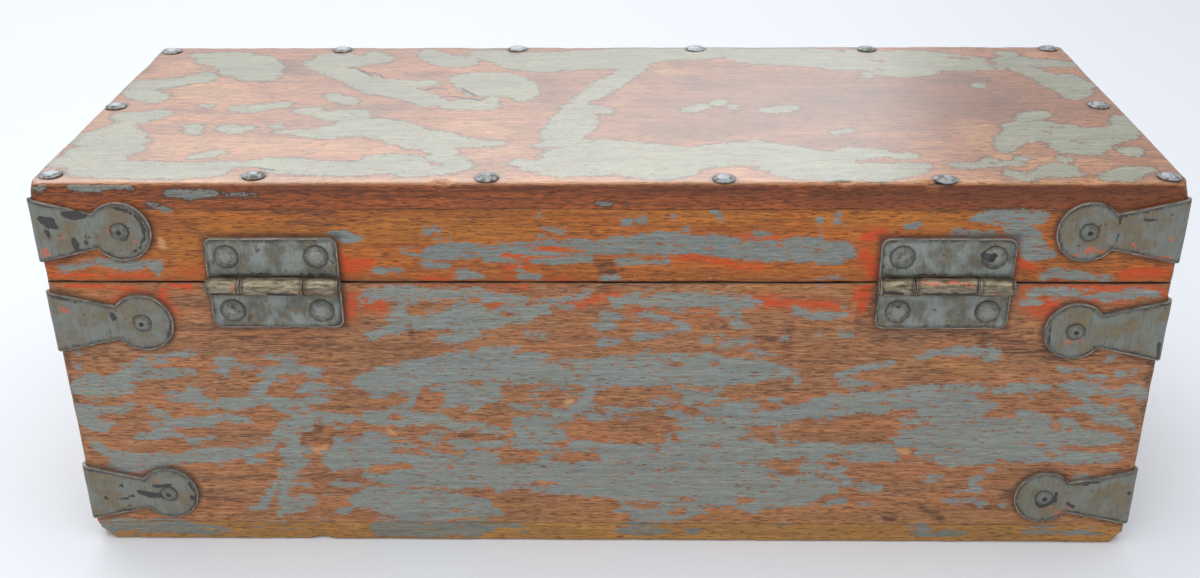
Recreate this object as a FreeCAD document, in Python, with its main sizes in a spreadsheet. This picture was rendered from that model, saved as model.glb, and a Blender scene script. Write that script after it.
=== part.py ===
"""A small hardwood box with a hinged lid, bound at its corners with keyhole-shaped iron straps.

The lid turns on two rolled butt hinges at the back. A slotted hasp hangs on the front and swings up
over the lid's staple. +X is the box's right side seen from the front, +Y points to the hinges, +Z is
up, and the origin is the centre of the base's underside. Millimetres.
"""
import FreeCAD, Part
import os
import re

import Sketcher
from FreeCAD import Placement, Rotation, Vector

doc = FreeCAD.newDocument("StrappedBox")

# ---------------------------------------------------------------- driving dimensions

SIZES = {
    # the wooden case
    "box_length": (432.0, "outside, along X"),
    "box_depth": (173.0, "outside, along Y"),
    "base_thickness": (9.0, "bottom board"),
    "wall_height": (112.6, "front, back and end boards, standing on the base"),
    "wall_thickness": (12.0, "boards of the case and rails of the lid"),
    "seam_gap": (0.5, "between the case's rim and the closed lid"),
    "rail_height": (30.0, "lid rails under the top board"),
    "top_thickness": (10.5, "lid's top board"),
    "corner_round": (2.5, "upright arrises of the case and lid"),
    "top_round": (3.0, "upper arris of the top board"),
    "foot_round": (1.2, "lower arris of the base"),
    "joint_gap": (0.05, "as-fitted gap where one board butts on another"),
    # keyhole straps
    "strap_thickness": (1.3, "sheet iron"),
    "strap_width": (26.3, "where the strap bends round the corner"),
    "strap_neck": (14.4, "width where the taper meets the disc"),
    "strap_disc": (12.0, "radius of the round end"),
    "strap_reach": (34.5, "from the corner to the centre of the disc"),
    "bend_relief": (0.3, "how much tighter the strap bends than the wood's arris"),
    "lid_strap_height": (143.5, "centre line of the lid's straps"),
    "upper_strap_height": (103.0, "centre line of the case's upper straps"),
    "lower_strap_height": (24.0, "centre line of the case's lower straps"),
    # butt hinges
    "hinge_right": (127.0, "middle of the right-hand hinge, from the box's middle"),
    "hinge_left": (129.3, "middle of the left-hand hinge, from the box's middle"),
    "hinge_length": (50.8, "along the pin"),
    "hinge_reach": (19.05, "from the pin to the leaf's free edge"),
    "hinge_sheet": (1.6, "leaf metal"),
    "hinge_barrel": (3.5, "outside radius of the knuckles"),
    "hinge_middle": (24.0, "length of the case leaf's single knuckle"),
    "hinge_corner": (3.4, "rounding of the leaf's free corners"),
    "hinge_nail_pitch": (34.4, "between a leaf's two nails"),
    "hinge_nail_line": (11.5, "from the pin to the nails"),
    "hinge_set": (0.3, "how far the knuckles stand off the wood"),
    # hasp and staple
    "hasp_width": (28.0, "along the pin"),
    "hasp_pin_height": (99.0, "pin above the ground"),
    "hasp_sheet": (1.8, "hasp metal"),
    "hasp_barrel": (3.6, "outside radius of the knuckles"),
    "hasp_middle": (13.0, "length of the strap's single knuckle"),
    "hasp_set": (0.6, "how far the knuckles stand off the wood"),
    "hasp_lift": (0.3, "gap between the raised strap and the wood"),
    "hasp_plate_reach": (27.0, "from the pin to the plate's lower edge"),
    "hasp_neck": (9.0, "from the pin to where the strap starts to narrow"),
    "hasp_end": (10.0, "radius of the strap's round end"),
    "hasp_nail_line": (17.0, "from the pin to the plate's nails"),
    "hasp_nail_pitch": (17.0, "between the plate's two nails"),
    "slot_side_play": (1.3, "staple to slot, on each side"),
    "slot_end_play": (3.1, "staple to slot, at each end"),
    "staple_height": (138.0, "middle of the staple above the ground"),
    "staple_bar": (3.8, "side of the staple's square bar"),
    "staple_bend": (6.0, "centre-line radius of the staple's crown"),
    "staple_stand": (15.0, "from the wood to the centre line of the crown"),
    "staple_bite": (9.0, "length of the staple's legs inside the wood"),
    # knuckles shared by both kinds of hinge
    "pin_clearance": (0.05, "radial, pin to knuckle"),
    "knuckle_gap": (0.25, "between neighbouring knuckles"),
    "roll_slit": (0.25, "between the end of the roll and its own leaf"),
    "roll_joggle": (1.6, "length over which the leaf steps back to the wood"),
    "notch_relief": (0.4, "room above a knuckle that turns in a notch"),
    "pin_head": (0.85, "how far the peened pin ends spread beyond the pin, all round"),
    "pin_crown": (0.35, "how much narrower than the pin is the flat left on a peened end"),
    "pin_head_rise": (0.8, "length of each peened end"),
    "pin_end_gap": (0.1, "between a peened end and the outer knuckle"),
    # nails
    "stud_head": (4.7, "top nails"),
    "stud_rise": (1.5, "top nails"),
    "stud_length": (25.0, "top nails"),
    "hinge_nail_head": (4.6, "hinge nails"),
    "hinge_nail_rise": (1.5, "hinge nails"),
    "hinge_nail_length": (9.0, "hinge nails"),
    "strap_nail_head": (3.4, "strap nails"),
    "strap_nail_rise": (1.3, "strap nails"),
    "strap_nail_length": (8.5, "strap nails"),
    "shank": (2.3, "side of every domed nail's square shank, under the head"),
    "shank_clearance": (0.05, "shank to hole, on each side"),
    "tip": (0.7, "side of a nail's blunt point"),
    "brad_shank": (2.2, "side of the headless joint nails"),
    "brad_length": (28.0, "joint nails through the case's corners"),
    "base_brad_length": (26.0, "joint nails through the base"),
    "brad_sink": (0.1, "how far the joint nails lie under the surface"),
    "top_nail_offset": (0.4, "top nails, inwards from the middle of the rails under them"),
    "base_nail_margin": (28.0, "outermost joint nails through the base, from the box's ends"),
    "rim_nail_drop": (3.4, "highest corner nail, below the case's rim"),
    "lid_corner_nail": (8.0, "lid's corner nail, above the rail's lower edge"),
}

sheet = doc.addObject("Spreadsheet::Sheet", "Sizes")
for row, (alias, (amount, note)) in enumerate(SIZES.items(), start=1):
    sheet.set(f"A{row}", alias)
    sheet.set(f"B{row}", str(amount))
    sheet.set(f"C{row}", note)
    sheet.setAlias(f"B{row}", alias)
doc.recompute()


class Size:
    """A number together with the spreadsheet expression that gives it."""

    def __init__(self, value, text):
        self.value = float(value)
        self.text = text

    @staticmethod
    def of(other):
        return other if isinstance(other, Size) else Size(other, repr(float(other)))

    def __add__(self, other):
        other = Size.of(other)
        return Size(self.value + other.value, f"({self.text} + {other.text})")

    def __sub__(self, other):
        other = Size.of(other)
        return Size(self.value - other.value, f"({self.text} - {other.text})")

    def __mul__(self, other):
        other = Size.of(other)
        return Size(self.value * other.value, f"({self.text} * {other.text})")

    def __truediv__(self, other):
        other = Size.of(other)
        return Size(self.value / other.value, f"({self.text} / {other.text})")

    def __neg__(self):
        return Size(-self.value, f"(0 - {self.text})")

    __radd__ = __add__
    __rmul__ = __mul__

    def __rsub__(self, other):
        return Size.of(other) - self

    def root(self):
        return Size(self.value ** 0.5, f"sqrt({self.text})")


class Dimensions:
    """Reads the spreadsheet's cells by their aliases, as Size values."""

    def __getattr__(self, alias):
        return Size(float(sheet.get(alias)), f"Sizes.{alias}")


dim = Dimensions()
ZERO = Size.of(0)


def bind(target, **sizes):
    """Ties properties of a document object to the spreadsheet."""
    for prop, size in sizes.items():
        target.setExpression(prop, Size.of(size).text)


def put(target, x=ZERO, y=ZERO, z=ZERO, turn=Rotation()):
    """Places an object, with a fixed turn and a position tied to the spreadsheet."""
    place = [Size.of(value) for value in (x, y, z)]
    target.Placement = Placement(Vector(*[value.value for value in place]), turn)
    for axis, value in zip("xyz", place):
        target.setExpression(f"Placement.Base.{axis}", value.text)
    return target


# ---------------------------------------------------------------- heights and faces of the case

half_length = dim.box_length / 2
half_depth = dim.box_depth / 2
rim_height = dim.base_thickness + dim.wall_height
lid_foot = rim_height + dim.seam_gap
rail_top = lid_foot + dim.rail_height
hinge_axis_height = rim_height + dim.seam_gap / 2
hinge_axis_depth = half_depth + dim.hinge_set + dim.hinge_barrel
hasp_axis_depth = -half_depth - dim.hasp_set - dim.hasp_barrel

nodes = []
ABOUT_X = Vector(1, 0, 0)
ABOUT_Y = Vector(0, 1, 0)
ABOUT_Z = Vector(0, 0, 1)


def node(target, label):
    """Marks an object as one of the parts that are written out."""
    target.Label = label
    nodes.append(target)
    return target


# ---------------------------------------------------------------- sketches

PLANES = {"XY": "XY_Plane", "XZ": "XZ_Plane", "YZ": "YZ_Plane"}
ORIGIN = -1
START, END, CENTRE = 1, 2, 3


def line_to(x, y):
    return ("line", Size.of(x), Size.of(y))


def arc_to(x, y, cx, cy, ccw):
    return ("arc", Size.of(x), Size.of(y), Size.of(cx), Size.of(cy), ccw)


def pin_down(sketch, piece, point, axis, size):
    """Fixes one coordinate of a sketch point to a spreadsheet expression."""
    kind = "DistanceX" if axis == 0 else "DistanceY"
    index = sketch.addConstraint(Sketcher.Constraint(kind, ORIGIN, 1, piece, point, size.value))
    sketch.setExpression(f"Constraints[{index}]", size.text)


def origin_plane(body, plane):
    return next(f for f in body.Origin.OriginFeatures if f.Role == PLANES[plane])


def new_sketch(body, plane):
    """An empty sketch on one of the body's own origin planes."""
    sketch = body.newObject("Sketcher::SketchObject", f"{body.Name}_sketch")
    sketch.AttachmentSupport = [(origin_plane(body, plane), "")]
    sketch.MapMode = "FlatFace"
    return sketch


def closed_outline(sketch, steps):
    """Draws a closed chain of lines and arcs; the last step's end is the first step's start."""
    ends = [(step[1], step[2]) for step in steps]
    joints = []
    for step, here, there in zip(steps, [ends[-1]] + ends[:-1], ends):
        first = Vector(here[0].value, here[1].value, 0)
        last = Vector(there[0].value, there[1].value, 0)
        if step[0] == "line":
            piece = sketch.addGeometry(Part.LineSegment(first, last))
            joints.append((piece, START, END))
            continue
        centre = Vector(step[3].value, step[4].value, 0)
        begin, finish = (first, last) if step[5] else (last, first)
        circle = Part.Circle(centre, ABOUT_Z, (first - centre).Length)
        piece = sketch.addGeometry(
            Part.ArcOfCircle(circle, circle.parameter(begin), circle.parameter(finish)))
        joints.append((piece, START, END) if step[5] else (piece, END, START))
        across = abs(last.x - first.x) > abs(last.y - first.y)
        pin_down(sketch, piece, CENTRE, 1 if across else 0, step[4] if across else step[3])
    for number, (piece, begin, finish) in enumerate(joints):
        following = joints[(number + 1) % len(joints)]
        sketch.addConstraint(
            Sketcher.Constraint("Coincident", piece, finish, following[0], following[1]))
        pin_down(sketch, piece, finish, 0, ends[number][0])
        pin_down(sketch, piece, finish, 1, ends[number][1])


def rectangle(x0, y0, x1, y1):
    return [line_to(x1, y0), line_to(x1, y1), line_to(x0, y1), line_to(x0, y0)]


def square(x, y, side):
    return rectangle(x - side / 2, y - side / 2, x + side / 2, y + side / 2)


def pad(body, sketch, length):
    """Adds the sketch's outline, half the length to each side of its plane."""
    feature = body.newObject("PartDesign::Pad", f"{body.Name}_pad")
    feature.Profile = sketch
    feature.SideType = "Symmetric"
    bind(feature, Length=length)
    return feature


def pocket_through(body, sketch):
    """Cuts the sketch's outline right through the body, both ways from its plane."""
    feature = body.newObject("PartDesign::Pocket", f"{body.Name}_pocket")
    feature.Profile = sketch
    feature.Type = "ThroughAll"
    feature.SideType = "Symmetric"
    return feature


def revolve(body, sketch, axis):
    feature = body.newObject("PartDesign::Revolution", f"{body.Name}_turn")
    feature.Profile = sketch
    feature.ReferenceAxis = (sketch, [axis])
    feature.Angle = 360
    return feature


def new_body(name):
    return doc.addObject("PartDesign::Body", name)


# ---------------------------------------------------------------- nails

HOLE_OVERRUN = 0.5
nail_hole_side = dim.shank + 2 * dim.shank_clearance


def square_shank(body, top, side, length):
    """A square shank that tapers to a blunt point, from the height top down to -length."""
    shank = body.newObject("PartDesign::AdditiveWedge", f"{body.Name}_shank")
    wide = side / 2
    narrow = dim.tip / 2
    bind(shank, Ymin=ZERO, Ymax=length + top, Xmin=-wide, Xmax=wide, Zmin=-wide, Zmax=wide,
         X2min=-narrow, X2max=narrow, Z2min=-narrow, Z2max=narrow)
    shank.AttachmentSupport = [(origin_plane(body, "XY"), "")]
    shank.MapMode = "FlatFace"
    shank.AttachmentOffset = Placement(Vector(), Rotation(ABOUT_X, -90))
    shank.setExpression("AttachmentOffset.Base.z", Size.of(top).text)


def domed_nail(name, head, rise, length):
    """A hand-made nail: a low dome with a flat underside on a tapering square shank. Head up +Z."""
    body = new_body(name)
    sketch = new_sketch(body, "XZ")
    dome_radius = (head * head + rise * rise) / (2 * rise)
    closed_outline(sketch, [
        line_to(ZERO, rise),
        arc_to(head, ZERO, ZERO, rise - dome_radius, ccw=False),
        line_to(ZERO, ZERO),
    ])
    revolve(body, sketch, "V_Axis")
    square_shank(body, ZERO, dim.shank, length)
    return body


def brad(name, length):
    """A headless joint nail whose flat end lies just under the surface. End up +Z."""
    body = new_body(name)
    square_shank(body, -dim.brad_sink, dim.brad_shank, length)
    return body


def nail_hole(name, side, length):
    """The hole that a nail sits in, sunk down -Z from the surface."""
    hole = doc.addObject("Part::Box", name)
    width = side + 2 * dim.shank_clearance
    bind(hole, Length=width, Width=width, Height=length + 2 * HOLE_OVERRUN)
    return put(hole, -width / 2, -width / 2, -length - HOLE_OVERRUN)


stud_nail = domed_nail("stud_nail", dim.stud_head, dim.stud_rise, dim.stud_length)
leaf_nail = domed_nail("leaf_nail", dim.hinge_nail_head, dim.hinge_nail_rise, dim.hinge_nail_length)
disc_nail = domed_nail("disc_nail", dim.strap_nail_head, dim.strap_nail_rise, dim.strap_nail_length)
corner_brad = brad("corner_brad", dim.brad_length)
base_brad = brad("base_brad", dim.base_brad_length)
HOLE_OF = {
    stud_nail: nail_hole("stud_hole", dim.shank, dim.stud_length),
    leaf_nail: nail_hole("leaf_hole", dim.shank, dim.hinge_nail_length),
    disc_nail: nail_hole("disc_hole", dim.shank, dim.strap_nail_length),
    corner_brad: nail_hole("corner_hole", dim.brad_shank, dim.brad_length),
    base_brad: nail_hole("base_hole", dim.brad_shank, dim.base_brad_length),
}

# turns that point a nail's head, modelled up +Z, out of each side of the box
HEAD_TO = {
    "top": Rotation(),
    "bottom": Rotation(ABOUT_X, 180),
    "back": Rotation(ABOUT_X, -90),
    "front": Rotation(ABOUT_X, 90),
    "right": Rotation(ABOUT_Y, 90),
    "left": Rotation(ABOUT_Y, -90),
}


def copies(name, master, places):
    """Linked copies of one object, gathered in a compound: places are (side, x, y, z)."""
    links = []
    for side, x, y, z in places:
        link = doc.addObject("App::Link", f"{name}_copy")
        link.LinkedObject = master
        link.LinkTransform = True
        put(link, x, y, z, HEAD_TO[side])
        links.append(link)
    group = doc.addObject("Part::Compound", name)
    group.Links = links
    return group


def nailing(label, master, places):
    """One node of identical nails, and the holes that they need in the wood."""
    node(copies(label, master, places), label)
    return copies(f"{label}_holes", HOLE_OF[master], places)


# ---------------------------------------------------------------- where the nails go

BACK, FRONT = 1, -1
RIGHT, LEFT = 1, -1
SIDES = {BACK: "back", FRONT: "front"}
ENDS = {RIGHT: "right", LEFT: "left"}

# Each nail was set by eye. (along X, in from the edge), left to right, off an evenly spaced row.
STRAY = {
    BACK: ((0.1, 0.0), (-0.5, -2.6), (-2.4, -1.8), (2.3, -0.7), (6.4, 1.1), (0.0, 2.3)),
    FRONT: ((1.3, -1.6), (3.4, -1.2), (1.0, -2.2), (2.1, -2.3), (2.3, -1.6), (0.0, 0.6)),
}
END_NAIL_STRAY = {RIGHT: -0.8, LEFT: 2.1}


def top_nail_places():
    places = []
    inset = dim.wall_thickness / 2 + dim.top_nail_offset
    span = half_length - inset
    for side in (BACK, FRONT):
        gaps = len(STRAY[side]) - 1
        for count, (along, inward) in enumerate(STRAY[side]):
            x = span * (2 * count / gaps - 1) + along
            y = side * (half_depth - inset - inward)
            places.append(("top", x, y, rail_top + dim.top_thickness))
    for end in (RIGHT, LEFT):
        x = end * (half_length - inset - END_NAIL_STRAY[end])
        places.append(("top", x, ZERO, rail_top + dim.top_thickness))
    return places


def corner_nail_places(heights):
    """Joint nails through the front and back boards into the ends of the end boards."""
    return [(SIDES[side], end * (half_length - dim.wall_thickness / 2), side * half_depth, height)
            for side in (BACK, FRONT) for end in (RIGHT, LEFT) for height in heights]


def base_nail_places():
    """Joint nails up through the base: five under each long board, one under each end board."""
    across = half_depth - dim.wall_thickness / 2
    along = half_length - dim.wall_thickness / 2
    pitch = (half_length - dim.base_nail_margin) / 2
    rows = [("bottom", pitch * step, side * across, ZERO)
            for side in (BACK, FRONT) for step in (-2, -1, 0, 1, 2)]
    return rows + [("bottom", end * along, ZERO, ZERO) for end in (RIGHT, LEFT)]


# ---------------------------------------------------------------- keyhole straps

TRIM = 1.0  # spare metal outside the outline, cut away by the pockets


class Strap:
    """Where one keyhole strap sits: its corner, its height and how far its discs reach."""

    def __init__(self, label, side, end, height, reach_stray):
        self.label = label
        self.side = side
        self.end = end
        self.height = height
        self.reach = dim.strap_reach + reach_stray

    def nail_places(self):
        """One nail in each disc, seated on the strap."""
        on_side = (SIDES[self.side], self.end * (half_length - self.reach),
                   self.side * (half_depth + dim.strap_thickness), self.height)
        on_end = (ENDS[self.end], self.end * (half_length + dim.strap_thickness),
                  self.side * (half_depth - self.reach), self.height)
        return [on_side, on_end]


def keyhole_outline(sketch, reach):
    """Waste around one leg: everything outside the tapered neck and round end, and the nail's hole."""
    half = dim.strap_width / 2
    neck = dim.strap_neck / 2
    beyond = dim.strap_thickness + TRIM
    neck_at = (dim.strap_disc * dim.strap_disc - neck * neck).root() - reach
    closed_outline(sketch, rectangle(
        -reach - dim.strap_disc - 2 * TRIM, -half - TRIM, beyond + TRIM, half + TRIM))
    closed_outline(sketch, [
        line_to(beyond, half),
        line_to(ZERO, half),
        line_to(neck_at, neck),
        arc_to(neck_at, -neck, -reach, ZERO, ccw=True),
        line_to(ZERO, -half),
        line_to(beyond, -half),
    ])
    closed_outline(sketch, square(-reach, ZERO, nail_hole_side))


def keyhole_strap(strap):
    """An iron strap bent round an upright corner; the wood's corner is at the body's origin."""
    body = new_body(strap.label)
    end = -strap.reach - dim.strap_disc - TRIM
    bend = dim.corner_round - dim.bend_relief
    metal = dim.strap_thickness
    profile = new_sketch(body, "XY")
    closed_outline(profile, [
        line_to(end, ZERO),
        line_to(-bend, ZERO),
        arc_to(ZERO, -bend, -bend, -bend, ccw=False),
        line_to(ZERO, end),
        line_to(metal, end),
        line_to(metal, -bend),
        arc_to(-bend, metal, -bend, -bend, ccw=True),
        line_to(end, metal),
    ])
    pad(body, profile, dim.strap_width)
    for plane in ("XZ", "YZ"):
        waste = new_sketch(body, plane)
        keyhole_outline(waste, strap.reach)
        pocket_through(body, waste)
    quarter = {(BACK, RIGHT): 0, (BACK, LEFT): 90, (FRONT, LEFT): 180, (FRONT, RIGHT): 270}
    turn = Rotation(ABOUT_Z, quarter[(strap.side, strap.end)])
    put(body, strap.end * half_length, strap.side * half_depth, strap.height, turn)
    return node(body, strap.label)


# (height stray, reach stray) of each strap, because every one was nailed on by eye
HAND_SET = {
    "lid": {(BACK, RIGHT): (0.0, -1.8), (BACK, LEFT): (0.0, 1.0),
            (FRONT, LEFT): (0.6, 0.4), (FRONT, RIGHT): (-0.5, -0.6)},
    "upper": {(BACK, RIGHT): (1.5, 0.8), (BACK, LEFT): (-1.5, 0.0),
              (FRONT, LEFT): (0.8, -0.7), (FRONT, RIGHT): (-0.6, 0.5)},
    "lower": {(BACK, RIGHT): (0.2, -0.5), (BACK, LEFT): (-0.2, 1.6),
              (FRONT, LEFT): (0.5, 0.3), (FRONT, RIGHT): (-0.4, -0.8)},
}
STRAP_HEIGHT = {"lid": dim.lid_strap_height, "upper": dim.upper_strap_height,
                "lower": dim.lower_strap_height}


def straps_of(level):
    prefix = "lid_strap" if level == "lid" else f"{level}_strap"
    return [Strap(f"{prefix}_{SIDES[side]}_{ENDS[end]}", side, end, STRAP_HEIGHT[level] + up, out)
            for (side, end), (up, out) in HAND_SET[level].items()]


lid_straps = straps_of("lid")
case_straps = straps_of("upper") + straps_of("lower")
for strap in lid_straps + case_straps:
    keyhole_strap(strap)

# ---------------------------------------------------------------- rolled hinges


class Roll:
    """Sheet metal rolled round a pin: the sizes that both leaves of a hinge share."""

    def __init__(self, sheet_metal, barrel, set_off):
        self.sheet = sheet_metal
        self.barrel = barrel
        self.set_off = set_off
        self.bore = barrel - sheet_metal
        self.pin = self.bore - dim.pin_clearance


butt_roll = Roll(dim.hinge_sheet, dim.hinge_barrel, dim.hinge_set)
hasp_roll = Roll(dim.hasp_sheet, dim.hasp_barrel, dim.hasp_set)


def rolled_profile(sketch, roll, reach, set_off):
    """Section across the pin, which is at the sketch's origin: the leaf rises along +Z, steps back
    to the wood over a short joggle, and its lower end rolls round the pin until it nearly closes."""
    back = -roll.barrel - set_off
    lip_y = roll.sheet + dim.roll_slit - roll.barrel
    lip_z = (roll.barrel * roll.barrel - lip_y * lip_y).root()
    inner = roll.bore / roll.barrel
    closed_outline(sketch, [
        line_to(back, dim.roll_joggle),
        line_to(-roll.barrel, ZERO),
        arc_to(lip_y, lip_z, ZERO, ZERO, ccw=True),
        line_to(lip_y * inner, lip_z * inner),
        arc_to(-roll.bore, ZERO, ZERO, ZERO, ccw=False),
        line_to(back + roll.sheet, dim.roll_joggle),
        line_to(back + roll.sheet, reach),
        line_to(back, reach),
    ])


def round_corners(body, corners, radius):
    """Rounds the leaf's edges that run through the metal at the given (x, z) corners."""
    doc.recompute()
    tip = body.Tip
    names = []
    for number, edge in enumerate(tip.Shape.Edges, start=1):
        ends = [vertex.Point for vertex in edge.Vertexes]
        if len(ends) != 2 or abs(ends[0].x - ends[1].x) > EDGE_MATCH:
            continue
        if abs(ends[0].z - ends[1].z) > EDGE_MATCH:
            continue
        if any(abs(ends[0].x - x) < EDGE_MATCH and abs(ends[0].z - z) < EDGE_MATCH
               for x, z in corners):
            names.append(f"Edge{number}")
    rounding = body.newObject("PartDesign::Fillet", f"{body.Name}_fillet")
    rounding.Base = (tip, names)
    bind(rounding, Radius=radius)


EDGE_MATCH = 1e-4


def leaf_blank(label, roll, width, reach, set_off):
    """A rolled leaf as wide as its hinge, before the knuckles are cut."""
    body = new_body(label)
    section = new_sketch(body, "YZ")
    rolled_profile(section, roll, reach, set_off)
    pad(body, section, width)
    return body


def cut_knuckles(body, roll, spans, nails=()):
    """Notches for the other leaf's knuckles, and the nails' holes, all cut through the leaf."""
    waste = new_sketch(body, "XZ")
    low = -roll.barrel - TRIM
    high = roll.barrel + dim.notch_relief
    for first, last in spans:
        closed_outline(waste, rectangle(first, low, last, high))
    for x, z in nails:
        closed_outline(waste, square(x, z, nail_hole_side))
    pocket_through(body, waste)


def outer_spans(width, middle):
    """The two stretches outside a middle knuckle, gap included."""
    return [(-width / 2 - TRIM, -middle / 2), (middle / 2, width / 2 + TRIM)]


def middle_span(middle):
    """The stretch of the middle knuckle with a gap each side."""
    return [(-middle / 2 - dim.knuckle_gap, middle / 2 + dim.knuckle_gap)]


def hinge_pin(label, roll, length):
    """A round pin along X, peened over a small gap at both ends."""
    body = new_body(label)
    sketch = new_sketch(body, "XY")
    face = length / 2 + dim.pin_end_gap
    end = face + dim.pin_head_rise
    spread = roll.pin + dim.pin_head
    crown = roll.pin - dim.pin_crown
    closed_outline(sketch, [
        line_to(-end, ZERO),
        line_to(-end, crown),
        line_to(-face, spread),
        line_to(-face, roll.pin),
        line_to(face, roll.pin),
        line_to(face, spread),
        line_to(end, crown),
        line_to(end, ZERO),
    ])
    revolve(body, sketch, "H_Axis")
    return body


def butt_hinge(side_name, middle_x):
    """Lid leaf with the two outer knuckles, case leaf with the middle one, and their pin."""
    half = dim.hinge_length / 2
    nails = [(sign * dim.hinge_nail_pitch / 2, dim.hinge_nail_line) for sign in (-1, 1)]
    free_corners = [(sign * half.value, dim.hinge_reach.value) for sign in (-1, 1)]
    leaves = (
        (f"{side_name}_hinge_lid_leaf", middle_span(dim.hinge_middle), Rotation()),
        (f"{side_name}_hinge_case_leaf", outer_spans(dim.hinge_length, dim.hinge_middle),
         Rotation(ABOUT_Y, 180)),
    )
    for label, spans, turn in leaves:
        leaf = leaf_blank(label, butt_roll, dim.hinge_length, dim.hinge_reach, dim.hinge_set)
        cut_knuckles(leaf, butt_roll, spans, nails)
        round_corners(leaf, free_corners, dim.hinge_corner)
        put(leaf, middle_x, hinge_axis_depth, hinge_axis_height, turn)
        node(leaf, label)
    pin = hinge_pin(f"{side_name}_hinge_pin", butt_roll, dim.hinge_length)
    put(pin, middle_x, hinge_axis_depth, hinge_axis_height)
    node(pin, pin.Name)


HINGES = {"right": dim.hinge_right, "left": -dim.hinge_left}
for side_name, middle_x in HINGES.items():
    butt_hinge(side_name, middle_x)


def hinge_nail_places(up):
    """Two nails through each leaf above (up = 1) or below (up = -1) the pins."""
    return [("back", middle_x + sign * dim.hinge_nail_pitch / 2, half_depth + dim.hinge_sheet,
             hinge_axis_height + up * dim.hinge_nail_line)
            for middle_x in HINGES.values() for sign in (-1, 1)]


# ---------------------------------------------------------------- hasp and staple

hasp_throw = dim.staple_height - dim.hasp_pin_height  # from the pin to the middle of the slot
slot_half_width = dim.staple_bar / 2 + dim.slot_side_play
slot_half_length = dim.staple_bend + dim.staple_bar / 2 + dim.slot_end_play
hasp_reach = hasp_throw + slot_half_length + dim.hasp_end


def hasp_plate():
    """The fixed leaf under the hanging strap, with the two outer knuckles."""
    body = leaf_blank("hasp_plate", hasp_roll, dim.hasp_width, dim.hasp_plate_reach, dim.hasp_set)
    nails = [(sign * dim.hasp_nail_pitch / 2, dim.hasp_nail_line) for sign in (-1, 1)]
    cut_knuckles(body, hasp_roll, middle_span(dim.hasp_middle), nails)
    corners = [(sign * dim.hasp_width.value / 2, dim.hasp_plate_reach.value) for sign in (-1, 1)]
    round_corners(body, corners, dim.hinge_corner)
    put(body, ZERO, hasp_axis_depth, dim.hasp_pin_height, Rotation(ABOUT_X, 180))
    return node(body, "hasp_plate")


def hasp_strap():
    """The slotted strap, modelled hanging: it narrows from its knuckle to a round end."""
    set_off = dim.hasp_set - dim.hasp_lift
    body = leaf_blank("hasp_strap", hasp_roll, dim.hasp_width, hasp_reach + TRIM, set_off)
    cut_knuckles(body, hasp_roll, outer_spans(dim.hasp_width, dim.hasp_middle))
    half = dim.hasp_width / 2
    low = -hasp_roll.barrel - TRIM
    end_at = hasp_reach - dim.hasp_end
    outline = new_sketch(body, "XZ")
    closed_outline(outline, rectangle(
        -half - 2 * TRIM, low - TRIM, half + 2 * TRIM, hasp_reach + 2 * TRIM))
    closed_outline(outline, [
        line_to(half + TRIM, low),
        line_to(half + TRIM, dim.hasp_neck),
        line_to(half, dim.hasp_neck),
        line_to(dim.hasp_end, end_at),
        arc_to(-dim.hasp_end, end_at, ZERO, end_at, ccw=True),
        line_to(-half, dim.hasp_neck),
        line_to(-half - TRIM, dim.hasp_neck),
        line_to(-half - TRIM, low),
    ])
    slot = slot_half_width
    far = hasp_throw + slot_half_length - slot
    near = hasp_throw - slot_half_length + slot
    closed_outline(outline, [
        line_to(slot, far),
        arc_to(-slot, far, ZERO, far, ccw=True),
        line_to(-slot, near),
        arc_to(slot, near, ZERO, near, ccw=True),
    ])
    pocket_through(body, outline)
    put(body, ZERO, hasp_axis_depth, dim.hasp_pin_height, Rotation(ABOUT_Y, 180))
    return node(body, "hasp_strap")


def staple():
    """A square bar bent to a U and driven into the lid's front rail, its crown towards -Y."""
    body = new_body("staple")
    outer = dim.staple_bend + dim.staple_bar / 2
    inner = dim.staple_bend - dim.staple_bar / 2
    turn_at = dim.staple_bend - dim.staple_stand
    section = new_sketch(body, "YZ")
    closed_outline(section, [
        line_to(turn_at, outer),
        arc_to(turn_at, -outer, turn_at, ZERO, ccw=True),
        line_to(dim.staple_bite, -outer),
        line_to(dim.staple_bite, -inner),
        line_to(turn_at, -inner),
        arc_to(turn_at, inner, turn_at, ZERO, ccw=False),
        line_to(dim.staple_bite, inner),
        line_to(dim.staple_bite, outer),
    ])
    pad(body, section, dim.staple_bar)
    put(body, ZERO, -half_depth, dim.staple_height)
    return node(body, "staple")


def staple_holes():
    """Two square holes for the staple's legs."""
    holes = []
    width = dim.staple_bar + 2 * dim.shank_clearance
    for sign in (-1, 1):
        hole = doc.addObject("Part::Box", "staple_hole")
        bind(hole, Length=width, Width=dim.staple_bite + 2 * HOLE_OVERRUN, Height=width)
        put(hole, -width / 2, -half_depth - HOLE_OVERRUN,
            dim.staple_height + sign * dim.staple_bend - width / 2)
        holes.append(hole)
    group = doc.addObject("Part::Compound", "staple_holes")
    group.Links = holes
    return group


hasp_plate()
hasp_strap()
staple()
hasp_pin = hinge_pin("hasp_pin", hasp_roll, dim.hasp_width)
put(hasp_pin, ZERO, hasp_axis_depth, dim.hasp_pin_height)
node(hasp_pin, "hasp_pin")

hasp_nail_places = [
    ("front", sign * dim.hasp_nail_pitch / 2, -half_depth - dim.hasp_sheet,
     dim.hasp_pin_height - dim.hasp_nail_line) for sign in (-1, 1)]

# ---------------------------------------------------------------- nails, then the boards they hold

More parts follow.
